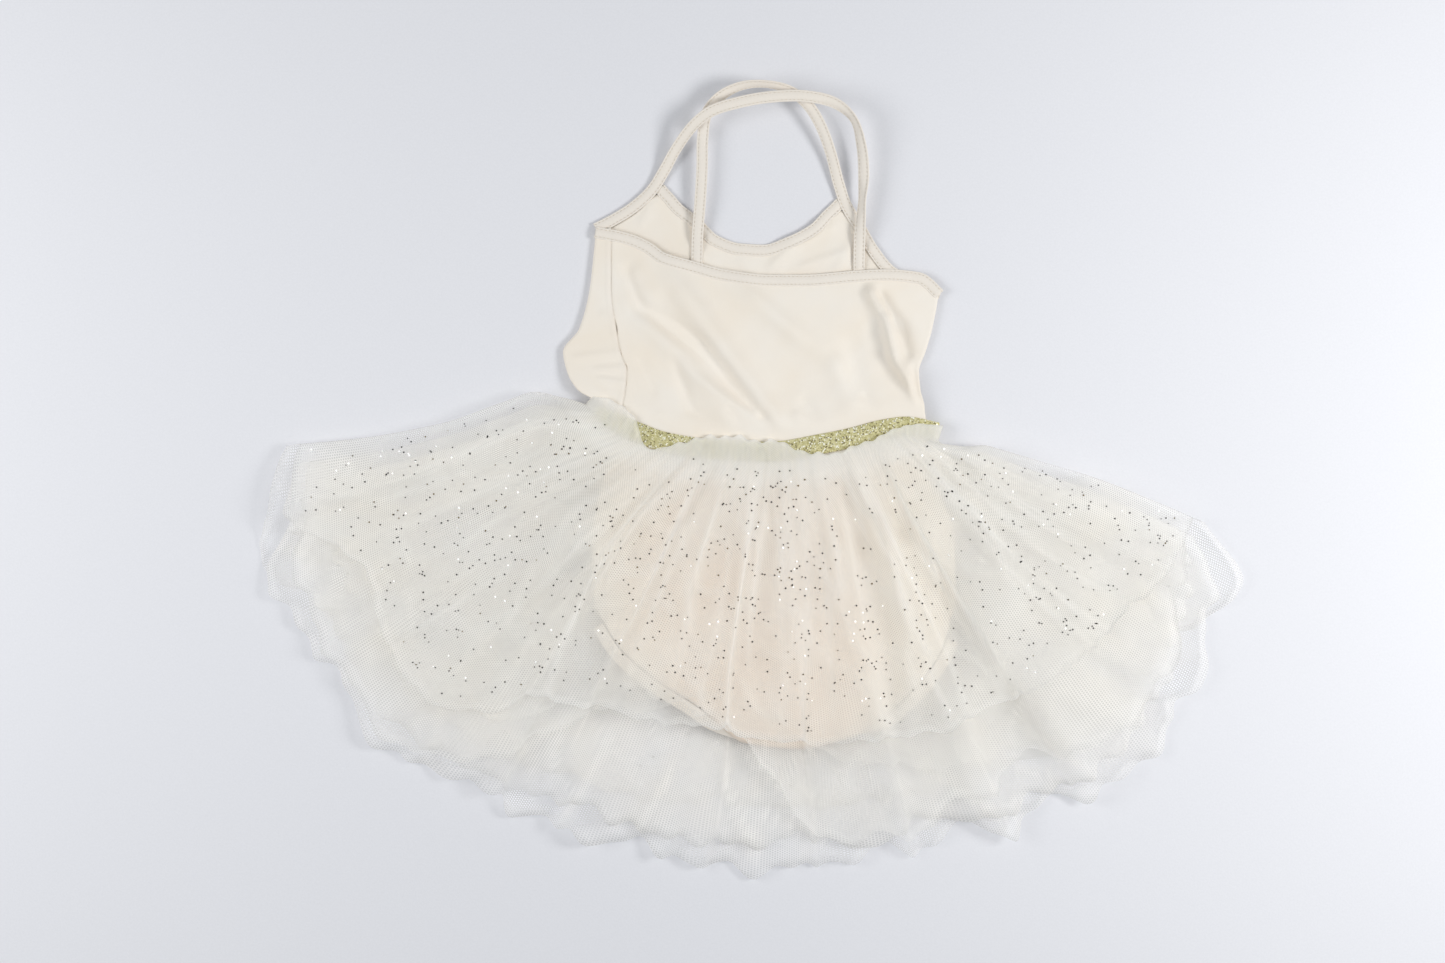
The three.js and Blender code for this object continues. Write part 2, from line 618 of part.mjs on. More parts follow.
// The points of a side fold at one row: they turn about its middle, to the right or to the left.
function turnedPoints(middle, radius, degreesList, way) {
  return degreesList.map((degrees) => {
    const turn = THREE.MathUtils.degToRad(degrees);
    const sideways = way * Math.sin(turn) * radius;
    return new THREE.Vector3(middle.x + sideways, middle.y, middle.z + Math.cos(turn) * radius);
  });
}

// The back panel runs from the left side seam, on top, to the right edge and round it to the surface.
function backGrid() {
  const rows = [];
  const leftEdge = (y) => seamEdge(y) + SEAM_GAP;
  for (let row = 0; row < PANEL_ROWS; row += 1) {
    const line = [];
    for (let column = 0; column <= BACK_COLUMNS; column += 1) {
      const [x, y] = panelPlace(BACK_TOP, column / BACK_COLUMNS, row, leftEdge, rightTurn);
      line.push(new THREE.Vector3(x, y, panelLevel("back", x, y) + backFold(x, y)));
    }
    const edge = line[BACK_COLUMNS];
    const radius = turnRadius(edge.x, edge.y);
    const middle = new THREE.Vector3(edge.x, edge.y, edge.z - radius);
    rows.push([...line, ...turnedPoints(middle, radius, BACK_TURNS, 1)]);
  }
  return rows;
}

// The front panel starts at the left side seam, on top, turns round the left edge, and runs on below the
// back.
function frontGrid() {
  const rows = [];
  const wrapEdge = (y) => seamEdge(y) - SEAM_GAP;
  const floorEdge = (y) => rightTurn(y) - SEAM_GAP;
  for (let row = 0; row < PANEL_ROWS; row += 1) {
    const wrap = [];
    for (let column = 0; column < WRAP_COLUMNS; column += 1) {
      const [x, y] = panelPlace(FRONT_TOP, column / WRAP_COLUMNS, row, wrapEdge, leftTurn);
      wrap.push(new THREE.Vector3(x, y, panelLevel("back", x, y)));
    }
    const lying = [];
    for (let column = 0; column <= FRONT_COLUMNS; column += 1) {
      const [x, y] = panelPlace(FRONT_TOP, column / FRONT_COLUMNS, row, leftTurn, floorEdge);
      lying.push(new THREE.Vector3(x, y, panelLevel("front", x, y)));
    }
    const edge = lying[0];
    const radius = turnRadius(edge.x, edge.y);
    const middle = new THREE.Vector3(edge.x, edge.y, edge.z + radius);
    rows.push([...wrap, ...turnedPoints(middle, radius, FRONT_TURNS, -1), ...lying]);
  }
  return rows;
}

// Makes one closed body from its points and triangles, with its faces pointing out.
function closedBody(points, triangles) {
  let volume = 0;
  for (const [a, b, c] of triangles) volume += points[a].dot(points[b].clone().cross(points[c]));
  const outward = volume < 0 ? triangles.map(([a, b, c]) => [a, c, b]) : triangles;
  const numbers = points.flatMap((point) => point.toArray());
  const geometry = new THREE.BufferGeometry();
  geometry.setAttribute("position", new THREE.Float32BufferAttribute(numbers, 3));
  geometry.setIndex(outward.flat());
  geometry.computeVertexNormals();
  return geometry;
}

// A cloth wall: a grid of middle points is moved out to both sides by half the thickness, and its open
// edges are closed. A round grid joins its last column to its first.
function clothWall(grid, thickness, round) {
  const [rows, columns] = [grid.length, grid[0].length];
  const at = (row, column) => {
    const r = Math.min(Math.max(row, 0), rows - 1);
    const held = Math.min(Math.max(column, 0), columns - 1);
    const c = round ? (column + columns) % columns : held;
    return grid[r][c];
  };
  const faceUp = [];
  const faceDown = [];
  for (let row = 0; row < rows; row += 1) {
    for (let column = 0; column < columns; column += 1) {
      const across = at(row, column + 1).clone().sub(at(row, column - 1));
      const along = at(row + 1, column).clone().sub(at(row - 1, column));
      const out = across.cross(along).normalize().multiplyScalar(thickness / 2);
      faceUp.push(at(row, column).clone().add(out));
      faceDown.push(at(row, column).clone().sub(out));
    }
  }
  const points = [...faceUp, ...faceDown];
  const count = rows * columns;
  const triangles = [];
  const quad = (a, b, c, d) => triangles.push([a, b, c], [a, c, d]);
  const spans = round ? columns : columns - 1;
  for (let row = 0; row < rows - 1; row += 1) {
    for (let column = 0; column < spans; column += 1) {
      const next = (column + 1) % columns;
      const [a, b] = [row * columns + column, row * columns + next];
      const [c, d] = [b + columns, a + columns];
      quad(a, b, c, d);
      quad(count + a, count + d, count + c, count + b);
    }
  }
  for (let column = 0; column < spans; column += 1) {
    const next = (column + 1) % columns;
    const last = (rows - 1) * columns;
    quad(next, column, count + column, count + next);
    quad(last + column, last + next, count + last + next, count + last + column);
  }
  for (let row = 0; row < rows - 1 && !round; row += 1) {
    const [a, b] = [row * columns, (row + 1) * columns];
    const [c, d] = [a + columns - 1, b + columns - 1];
    quad(a, b, count + b, count + a);
    quad(d, c, count + c, count + d);
  }
  return closedBody(points, triangles);
}

// A ribbon: a rectangle carried along stations, each with its place, the way across it and the way out of
// it.
function ribbon(stations, width, thickness, round) {
  const points = [];
  for (const { place, across, out } of stations) {
    for (const [side, face] of [[-1, -1], [1, -1], [1, 1], [-1, 1]]) {
      points.push(
        place
          .clone()
          .addScaledVector(across, (side * width) / 2)
          .addScaledVector(out, (face * thickness) / 2),
      );
    }
  }
  const triangles = [];
  const spans = round ? stations.length : stations.length - 1;
  for (let i = 0; i < spans; i += 1) {
    const [here, next] = [4 * i, 4 * ((i + 1) % stations.length)];
    for (let k = 0; k < 4; k += 1) {
      const l = (k + 1) % 4;
      triangles.push([here + k, here + l, next + l], [here + k, next + l, next + k]);
    }
  }
  if (!round) {
    const end = 4 * (stations.length - 1);
    triangles.push([0, 2, 1], [0, 3, 2], [end, end + 1, end + 2], [end, end + 2, end + 3]);
  }
  return closedBody(points, triangles);
}

const UP = new THREE.Vector3(0, 0, 1);

// The stations of a ribbon that follows a list of points. The way across is level and square to the line,
// turned about the line by the roll, in degrees.
function stationsAlong(line, rolls) {
  return line.map((place, i) => {
    const after = line[Math.min(i + 1, line.length - 1)];
    const tangent = after.clone().sub(line[Math.max(i - 1, 0)]).normalize();
    const across = UP.clone().cross(tangent).normalize();
    if (rolls) across.applyAxisAngle(tangent, THREE.MathUtils.degToRad(rolls[i]));
    return { place, across, out: tangent.clone().cross(across).normalize() };
  });
}

// The places along a table of stations, evenly spaced on a smooth curve through them.
function curveThrough(rows, steps) {
  const places = rows.map((row) => new THREE.Vector3(row.x, row.y, row.z));
  const curve = new THREE.CatmullRomCurve3(places, false, "centripetal");
  const line = [];
  const rolls = [];
  for (let i = 0; i <= steps; i += 1) {
    const t = i / steps;
    const at = t * (rows.length - 1);
    const low = Math.min(Math.floor(at), rows.length - 2);
    line.push(curve.getPoint(t));
    rolls.push(rows[low].roll + (rows[low + 1].roll - rows[low].roll) * (at - low));
  }
  return { line, rolls };
}

function strap(rows) {
  const { line, rolls } = curveThrough(rows, STRAP_STEPS);
  return ribbon(stationsAlong(line, rolls), STRAP_WIDTH, BINDING, false);
}

// An edge binding lies just outside a panel's edge, half its width past the seam gap.
function edgeBinding(edge, lift) {
  const offset = SEAM_GAP + BINDING_WIDTH / 2;
  const shift = ({ place, across }) => place.clone().addScaledVector(across, offset);
  const line = stationsAlong(edge).map(shift);
  line.forEach((point) => point.setZ(point.z + lift));
  return ribbon(stationsAlong(line), BINDING_WIDTH, BINDING, false);
}

// Evenly spaced numbers from one value to another, both included.
function spaced(from, to, steps) {
  return Array.from({ length: steps + 1 }, (_, i) => from + ((to - from) * i) / steps);
}

// The waistband: an elastic ring, pressed flat, round the leotard at the waist. It runs right on top, turns
// round the right end, runs back below and turns round the left end.
function waistband() {
  const radius = (WAISTBAND_HIGH - WAISTBAND_LOW) / 2;
  const station = (x, sideways, upwards) => {
    const up = bandUp(x);
    const middle = bandPoint(x, WAISTBAND_WIDTH / 2);
    return {
      place: new THREE.Vector3(middle.x, middle.y, WAISTBAND_LOW + radius * (1 + upwards)),
      across: new THREE.Vector3(up.x, up.y, 0),
      out: new THREE.Vector3(sideways * up.y, -sideways * up.x, upwards).normalize(),
    };
  };
  const turns = (end, way) =>
    BACK_TURNS.map((degrees) => {
      const turn = THREE.MathUtils.degToRad(degrees);
      const sideways = way * Math.sin(turn);
      return station(end + sideways * radius, sideways, Math.cos(turn));
    });
  const top = spaced(BAND_LEFT, BAND_RIGHT, WAISTBAND_STEPS).map((x) => station(x, 0, 1));
  const bottom = spaced(BAND_RIGHT, BAND_LEFT, WAISTBAND_STEPS).map((x) => station(x, 0, -1));
  const stations = [...top, ...turns(BAND_RIGHT, 1), ...bottom, ...turns(BAND_LEFT, -1).reverse()];
  return ribbon(stations, WAISTBAND_WIDTH, ELASTIC, true);
}

// A leg binding: a ring pressed flat, along the back panel's leg edge and back along the front panel's.
function legBinding(from, to, way) {
  const station = (x, z, sideways, upwards) => {
    const slope = (read(LEGS, "x", "y", x + 2) - read(LEGS, "x", "y", x - 2)) / 4;
    const across = new THREE.Vector3(slope, -1, 0).normalize();
    const out = new THREE.Vector3(sideways, sideways * slope, upwards).normalize();
    const place = new THREE.Vector3(x, read(LEGS, "x", "y", x), z);
    return { place: place.addScaledVector(across, LEG_GAP + BINDING_WIDTH / 2), across, out };
  };
  const middle = (LEG_LOW + LEG_HIGH) / 2;
  const stations = [
    ...spaced(from, to, LEG_STEPS).map((x) => station(x, LEG_HIGH, 0, 1)),
    station(to + way * LEG_TURN, middle, way, 0),
    ...spaced(to, from, LEG_STEPS).map((x) => station(x, LEG_LOW, 0, -1)),
    station(from - way * LEG_TURN, middle, -way, 0),
  ];
  return ribbon(stations, BINDING_WIDTH, LEG_THICKNESS, true);
}

const back = backGrid();
const front = frontGrid();
const backEdge = back[0].slice(0, BACK_COLUMNS + 1);
const frontEdge = front[0].slice(WRAP_COLUMNS + FRONT_TURNS.length);
const neckEdge = frontEdge.filter((point) => point.x > NECK_LEFT && point.x < NECK_RIGHT);
const leftLeg = legBinding(CROTCH_LEFT - CROTCH_CLEARANCE, LEG_LEFT, -1);
const rightLeg = legBinding(CROTCH_RIGHT + CROTCH_CLEARANCE, LEG_RIGHT, 1);

const costume = new THREE.Group();
costume.name = "dance_costume";

function addPiece(name, geometry, finish) {
  const mesh = new THREE.Mesh(geometry, new THREE.MeshStandardMaterial(finish));
  mesh.name = name;
  costume.add(mesh);
}

addPiece("front_panel", clothWall(front, JERSEY, false), IVORY_JERSEY);
addPiece("back_panel", clothWall(back, JERSEY, false), IVORY_JERSEY);
addPiece("neck_binding", edgeBinding(neckEdge, NECK_BINDING_LIFT), IVORY_BINDING);
addPiece("back_binding", edgeBinding(backEdge, BACK_BINDING_LIFT), IVORY_BINDING);
addPiece("left_strap", strap(LEFT_STRAP), IVORY_BINDING);
addPiece("right_strap", strap(RIGHT_STRAP), IVORY_BINDING);
addPiece("waistband", waistband(), GOLD_ELASTIC);
addPiece("left_leg_binding", leftLeg, IVORY_BINDING);
addPiece("right_leg_binding", rightLeg, IVORY_BINDING);
addPiece("glitter_overlay", clothWall(skirtGrid(GLITTER_NET), NET, true), IVORY_NET);
addPiece("outer_net", clothWall(skirtGrid(OUTER_NET), NET, true), IVORY_NET);
addPiece("inner_net", clothWall(skirtGrid(INNER_NET), NET, true), IVORY_NET);

costume.position.y = -BODICE_MIDDLE;

export default costume;
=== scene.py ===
"""A child's dance costume, laid out flat on its front: a strappy ivory leotard with a gathered tutu of
three nets.

The tables and formulas of the big forms are the construction's own, in millimetres from the surface below
the middle of the waist: X to the right, Y towards the straps, Z up. Here the same forms are worked out
finely as whole arrays, with the smaller folds, gathers and creases added. `add_piece` moves each mesh into
the frame, in metres.
"""

import math

import bpy
import numpy as np
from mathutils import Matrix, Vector


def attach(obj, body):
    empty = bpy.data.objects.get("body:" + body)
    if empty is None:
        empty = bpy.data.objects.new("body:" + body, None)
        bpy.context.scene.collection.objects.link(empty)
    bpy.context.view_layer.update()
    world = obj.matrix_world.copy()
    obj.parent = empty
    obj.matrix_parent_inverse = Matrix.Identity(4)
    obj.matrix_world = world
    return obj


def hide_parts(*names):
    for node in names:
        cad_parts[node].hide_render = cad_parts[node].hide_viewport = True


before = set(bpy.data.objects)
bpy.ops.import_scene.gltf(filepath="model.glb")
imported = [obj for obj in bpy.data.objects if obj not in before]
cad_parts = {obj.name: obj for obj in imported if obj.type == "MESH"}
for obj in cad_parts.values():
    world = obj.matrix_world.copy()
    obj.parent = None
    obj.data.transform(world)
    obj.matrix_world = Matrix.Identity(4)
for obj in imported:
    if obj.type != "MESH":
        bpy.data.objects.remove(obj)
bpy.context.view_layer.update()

# The photograph's frame, and the size of one of its pixels on the surface
PHOTO_WIDTH = 1445
PHOTO_HEIGHT = 963
PIXEL_MM = 0.76
WAIST_PIXEL = (768, 440)
CAMERA_HEIGHT = 1.6

# Thickness of the cloths, and widths of the narrow pieces, in millimetres
JERSEY = 1.0
NET = 0.4
BINDING = 1.8
LEG_BINDING = 1.2
BINDING_WIDTH = 9
STRAP_WIDTH = 8.8
ELASTIC = 1.2
WAISTBAND_WIDTH = 15
SEAM_GAP = 0.15
BINDING_LAP = 1.6

# How far above the waist the frame's origin lies
BODICE_MIDDLE = 88

# The ends of the waistband, and the side folds of the skirt just past them
BAND_LEFT, BAND_RIGHT = -127, 127
SKIRT_LEFT, SKIRT_RIGHT = -133, 133
SKIRT_SEAM_GAP = 0.6

# The waistband's upper edge, which sags between the side folds
WAISTLINE = {
    "x": [-136, -126, -97, -78, -52, 0, 40, 62, 85, 104, 127, 136],
    "y": [28, 24.5, 13, 6, 1.5, -1.5, 4.5, 9, 15, 17.5, 13.5, 11],
}

# The fan that the skirt spreads into, by the share across it: the way that its folds run, in degrees, how
# much of the waistband the top net's puffs hide, and how far out the leotard reaches between the nets
FAN = {
    "share": [0, 0.03, 0.1, 0.14, 0.17, 0.2, 0.23, 0.3, 0.35, 0.42, 0.5, 0.55, 0.62, 0.7, 0.8, 0.9, 0.97, 1],
    "heading": [184, 191, 203, 210, 215, 220, 225, 235, 243, 253, 264, 271, 280, 291, 306, 322, 336, 343.5],
    "cover": [17, 23, 21, 13, 2, 1, 6, 14, 18, 18, 17, 12, 2, 1, 4, 8, 13, 14],
    "reach": [20, 24, 48, 70, 88, 104, 120, 168, 205, 228, 246, 250, 246, 215, 140, 72, 30, 20],
}

# How far the two side folds puff up past a straight line, by the distance out from the waist, the share
# over which that fades, and how far each net's inset, as a share, moves its side fold in, in millimetres
SIDE_LIFT = {
    "out": [-24, 0, 20, 40, 62, 110, 175, 220, 340],
    "left": [0, 15, 22, 27, 21, 8, 1, 0, 0],
    "right": [0, 1, 4, 10, 10, 10, 5, 0, 0],
}
SIDE_LIFT_REACH = 0.12
FOLD_SINK = 400

# How far out each net's hem lies, by its share across the fan. The over halves face up and the under halves
# lie on the surface.
HEMS = {
    "share": [0, 0.03, 0.06, 0.09, 0.12, 0.16, 0.2, 0.24, 0.27, 0.3, 0.34, 0.4, 0.45,
              0.51, 0.56, 0.61, 0.66, 0.71, 0.76, 0.81, 0.86, 0.9, 0.94, 0.965, 1],
    "overGlitter": [216, 234, 246, 228, 222, 238, 254, 259, 246, 216, 209, 203, 200,
                    208, 212, 217, 220, 223, 221, 219, 215, 212, 209, 206, 201],
    "overOuter": [206, 222, 240, 258, 270, 280, 290, 298, 290, 270, 226, 196, 192,
                  216, 282, 296, 290, 276, 266, 284, 278, 256, 228, 212, 192],
    "overInner": [196, 208, 220, 234, 240, 250, 260, 256, 248, 236, 206, 184, 180,
                  186, 206, 232, 246, 254, 258, 256, 244, 230, 212, 198, 182],
    "underInner": [198, 220, 240, 260, 268, 272, 284, 290, 286, 284, 292, 282, 288,
                   288, 278, 294, 286, 296, 298, 300, 284, 258, 236, 214, 188],
    "underOuter": [210, 236, 258, 280, 290, 286, 300, 306, 304, 299, 306, 302, 303,
                   309, 311, 309, 305, 312, 308, 318, 304, 282, 258, 234, 198],
    "underGlitter": [226, 255, 277, 285, 270, 270, 270, 268, 268, 268, 266, 264, 262,
                     262, 264, 266, 268, 270, 272, 270, 264, 254, 258, 263, 210],
}

# The height of the middle of each net, by its distance out from the waist
LEVELS = {
    "out": [-20, -4, 0, 14, 40, 80, 130, 200, 260, 340],
    "underGlitter": [3, 2.6, 1.8, 0.9, 0.5, 0.5, 0.5, 0.5, 0.5, 0.5],
    "underOuter": [3.3, 3.3, 3.3, 3, 2.9, 3, 3, 3.1, 3.2, 3.2],
    "underInner": [5, 5, 5, 5, 5.4, 5.6, 5.8, 5.9, 6, 6],
    "overInner": [10, 10, 10, 14.2, 15.4, 15.6, 15.4, 15, 14.6, 14.4],
    "overOuter": [11.9, 11.9, 11.9, 17, 18.8, 19.4, 19, 18.2, 17.6, 17],
    "overGlitter": [12, 14, 15, 20, 23, 24, 23.2, 21.4, 20.4, 19.5],
}

# Past the leotard the over halves sink by this much, so that the two halves of the skirt lie on each other
OVER_DROP = 5
LEOTARD_MARGIN = 6
SETTLING = 44

# The gathers that all the nets share: how many there are across each half, and the height of their waves by
# the distance out from the waist
GATHERS = 12
RIPPLE = {
    "out": [-20, 0, 14, 40, 80, 130, 200, 260, 340],
    "height": [0, 0.2, 2.2, 5, 6.8, 7.6, 8, 10, 12],
}

# The smaller folds between the gathers, and the fine tucks at the waist, which soon fade out
SMALL_FOLDS = {"out": [-20, 0, 20, 60, 120, 200, 340], "height": [0.1, 0.3, 1.1, 1.1, 1, 1.6, 3]}
SMALL_FOLD_COUNT = 31
TUCKS = {"out": [-20, 0, 20, 50, 90, 130, 340], "height": [0.25, 0.5, 0.6, 0.25, 0, 0, 0]}
TUCK_COUNT = 58

# The largest folds of the top net: where each starts and ends, as share and distance out, its half width as
# a share, and how far it stands up or sinks. All stand higher by the one number.
TOP_FOLDS_RISE = 1.4
TOP_FOLDS = [
    (0.172, -2, 0.155, 125, 0.016, -4.5),
    (0.2, 20, 0.235, 205, 0.018, 5),
    (0.205, 60, 0.262, 172, 0.014, -4),
    (0.28, 25, 0.285, 120, 0.012, 4),
    (0.292, 90, 0.292, 225, 0.012, -4.5),
    (0.33, 60, 0.325, 225, 0.022, 5),
    (0.64, 12, 0.712, 92, 0.02, -4.5),
    (0.725, 50, 0.655, 225, 0.014, 5),
    (0.925, 10, 0.876, 130, 0.018, -4),
    (0.775, 110, 0.7, 200, 0.022, -3),
]
SHARE_PER_MM = 0.0025

# Sharp creases of the over halves, laid out in the same way: each stands up like a roof's ridge
NET_CREASES_RISE = 0.6
NET_CREASES = [
    (0.06, 30, 0.045, 190, 0.008, 1.6),
    (0.105, 50, 0.125, 200, 0.008, 1.8),
    (0.145, 10, 0.165, 120, 0.006, 1.4),
    (0.222, 118, 0.246, 232, 0.008, 2.4),
    (0.288, 96, 0.298, 200, 0.006, 2.6),
    (0.335, 34, 0.425, 146, 0.007, 1.8),
    (0.38, 60, 0.36, 190, 0.008, 1.6),
    (0.45, 20, 0.44, 170, 0.006, 1.4),
    (0.508, 4, 0.53, 150, 0.006, 1.6),
    (0.57, 20, 0.59, 200, 0.007, 1.6),
    (0.668, 12, 0.712, 90, 0.006, 2.8),
    (0.716, 90, 0.66, 200, 0.007, 2.4),
    (0.765, 134, 0.716, 180, 0.008, 1.8),
    (0.8, 20, 0.815, 210, 0.007, 1.6),
    (0.85, 30, 0.835, 200, 0.008, 1.6),
    (0.93, 24, 0.955, 190, 0.008, 1.6),
]

# How high the over halves billow in broad and in narrower waves, how high the wrinkles stand that curve
# across a net, and how many more layers a wrinkle counts for
BROAD_BILLOW = 4.4
NARROW_BILLOW = 2
WRINKLE_RISE = 1.6
WRINKLE_LAYERS = 0.8

# Where the net lies double and shows as a pale line: the ends of each line as share and distance out, its
# half width as a share, and how many more layers it counts for, times the list's own number. The first list
# is for the upper halves, the second for the halves on the surface.
UPPER_LINES_WEIGHT = 0.4
LOWER_LINES_WEIGHT = 0.5
UPPER_LINES = [
    (0.288, 92, 0.3, 214, 0.004, 4),
    (0.335, 34, 0.43, 150, 0.005, 1.1),
    (0.668, 12, 0.714, 92, 0.0045, 1.8),
    (0.716, 92, 0.662, 212, 0.0045, 1.8),
    (0.508, 2, 0.528, 120, 0.004, 1),
    (0.6, 70, 0.64, 160, 0.004, 0.9),
    (0.42, 150, 0.47, 196, 0.006, 0.9),
    (0.245, 60, 0.222, 205, 0.004, 1.1),
    (0.155, 30, 0.13, 190, 0.004, 0.9),
    (0.07, 40, 0.06, 190, 0.004, 0.9),
    (0.78, 60, 0.72, 190, 0.004, 0.9),
    (0.86, 40, 0.84, 200, 0.004, 0.9),
    (0.94, 30, 0.93, 170, 0.004, 0.8),
]
LOWER_LINES = [
    (0.505, 236, 0.515, 300, 0.004, 3),
    (0.52, 262, 0.6, 300, 0.005, 2.4),
    (0.545, 240, 0.59, 262, 0.005, 2),
    (0.655, 236, 0.7, 300, 0.004, 2.2),
    (0.44, 240, 0.42, 296, 0.004, 1.6),
    (0.38, 230, 0.37, 300, 0.004, 1.6),
    (0.33, 220, 0.3, 296, 0.004, 1.4),
    (0.24, 230, 0.26, 300, 0.004, 1.4),
    (0.16, 230, 0.2, 280, 0.004, 1.4),
    (0.76, 240, 0.8, 300, 0.004, 1.4),
    (0.84, 220, 0.83, 290, 0.004, 1.4),
]

# The half width of a side fold as a share, by the distance out
SIDE_FOLD = {"out": [-20, 10, 80, 340], "half": [0.022, 0.026, 0.045, 0.06]}

# The three nets, from the outside in: their halves' columns in the tables, how far inside the outermost
# they fold, whether they start over the waistband, how high they swell and follow the top folds, how many
# more layers their hem counts for, how ragged the hem is, how much one flat layer of the net hides, and the
# width and length that the strip was cut to, in millimetres
NETS = {
    "glitter_overlay": dict(over="overGlitter", under="underGlitter", inset=0, puffs=True, swell=1.35,
                            follow=1, edge=1.3, ragged=0.8, cover=0.26, cut=(1600, 250), seed=3),
    "outer_net": dict(over="overOuter", under="underOuter", inset=0.01, puffs=False, swell=1.15, follow=0.6,
                      edge=0.5, ragged=1.6, cover=0.29, cut=(1620, 285), seed=4),
    "inner_net": dict(over="overInner", under="underInner", inset=0.02, puffs=False, swell=1, follow=0.3,
                      edge=0.4, ragged=1.6, cover=0.33, cut=(1480, 262), seed=5),
}
NET_COLUMNS = 400
NET_ROWS = 46

# The fan grows wider by this much for each millimetre out from the waist
FAN_SPREAD = 2.8

# The distance from hole to hole of the net's honeycomb
NET_CELL = 1.5

# The glitter: how many flakes are drawn, their radius and half thickness, how high they lie over the net,
# and the share of them on the upper half. A flake is left out where the net is steeper than the limit,
# given as the upward part of its normal.
FLAKES = 1500
FLAKE_RADIUS = (0.5, 0.74)
FLAKE_HALF = 0.12
FLAKE_LIFT = 0.25
FLAKES_ABOVE = 0.88
FLAKE_LIMIT = 0.8

# The leotard's outline by height: its left edge, the left side seam, which lies on top, and its right edge
BODY = {
    "y": [-240, -125, -76, -36, -12, 4, 25, 38, 52, 67, 84, 114, 150, 172],
    "left": [-131, -131, -133, -126, -119, -120, -124, -144, -152, -155, -143, -135, -131, -129],
    "seam": [-123, -123, -125, -118, -111, -110, -110, -108, -107, -112, -115, -119, -119, -119],
    "right": [141, 141, 140, 128, 118, 119, 118, 115, 114, 119, 124, 129, 130, 130],
}

# The cut edges of the leotard, by their place across it
FRONT_TOP = {
    "x": [-130, -116, -102, -84, -70, -57, -42, -22, -3, 17, 36, 56, 66, 76, 90, 130],
    "y": [156, 163, 172, 186, 173, 163, 149, 142, 141, 147, 157, 174, 160, 143, 126, 108],
}
BACK_TOP = {
    "x": [-130, -109, -94, -81, -57, -34, 0, 28, 67, 90, 113, 130],
    "y": [154, 150, 144, 135, 128, 122, 118, 118, 121, 122, 120, 106],
}
LEGS = {
    "x": [-131, -112, -86, -52, -17, 22, 62, 100, 130, 141],
    "y": [-125, -157, -180, -202, -229, -233, -225, -198, -160, -122],
}
CROTCH_LEFT, CROTCH_RIGHT = -17, 62

# The height of the middle of the two panels, by the height above the waistline
PANEL_LEVELS = {
    "above": [-260, -80, -40, -15, 3, 9, 22, 42, 90, 130, 200],
    "front": [8.7, 8.6, 8.2, 6.9, 6.7, 5.8, 3, 0.6, 0.6, 0.6, 0.6],
    "back": [11.5, 11.8, 11.2, 8.7, 8.5, 8.9, 7, 4.8, 4.2, 3.6, 3],
}

# The folds of the panels: where each starts and ends, its half width, and how far it stands up or sinks,
# times the list's own number
BACK_FOLDS_RISE = 2
BACK_CREASES_RISE = 2.2
FRONT_CREASES_RISE = 1.9
WRAP_CREASES_RISE = 2
BACK_FOLDS = [
    (-104, 128, -88, 104, 9, 1.6),
    (-70, 118, 8, 8, 10, 3.6),
    (-100, 100, -22, 10, 9, 2.4),
    (-18, 108, 48, 62, 10, 1.6),
    (78, 112, 92, 78, 7, 2),
    (92, 78, 118, 26, 8, 2.6),
    (50, 60, 66, 24, 9, 1.8),
]
BACK_CREASES = [
    (-109, 129, -97, 99, 6, -2.2),
    (-97, 99, -52, 72, 7, -2.6),
    (-52, 72, -6, 19, 7, -2.8),
    (-6, 19, 5, 4, 5, -1.6),
    (-71, 61, -59, 23, 5, -1.2),
    (-59, 23, -40, 8, 4, -0.9),
    (-97, 61, -86, 34, 4, -0.8),
    (-52, 46, 2, 8, 4, 1.1),
    (-14, 114, 24, 76, 6, 0.9),
    (76, 114, 89, 91, 4, 2),
    (89, 91, 95, 61, 4, 2.6),
    (95, 61, 123, 19, 4, 2.6),
    (84, 112, 99, 88, 5, -1.6),
    (99, 88, 106, 60, 6, -2),
    (62, 76, 66, 30, 9, -1),
    (26, 30, 40, 12, 5, -0.8),
    (-30, 24, -20, 8, 4, -0.8),
    (20, 20, 28, 6, 4, 0.7),
    (-84, 20, -78, 8, 4, 0.7),
    (72, 34, 84, 20, 4, -0.7),
]
FRONT_CREASES = [
    (2, 131, 28, 156, 4, 1.1),
    (28, 156, 51, 163, 4, 0.9),
    (24, 131, 58, 143, 3, 0.9),
    (-97, 163, -86, 182, 4, 0.8),
    (-60, 150, -40, 132, 5, 0.7),
    (-20, 138, -6, 122, 5, 0.6),
    (64, 150, 52, 128, 5, 0.8),
]
WRAP_CREASES = [
    (-128, 46, -109, 43, 2.2, 0.9),
    (-130, 53, -108, 55, 2.2, 0.8),
    (-146, 62, -112, 66, 3, 0.7),
    (-126, 96, -114, 82, 4, 0.7),
]

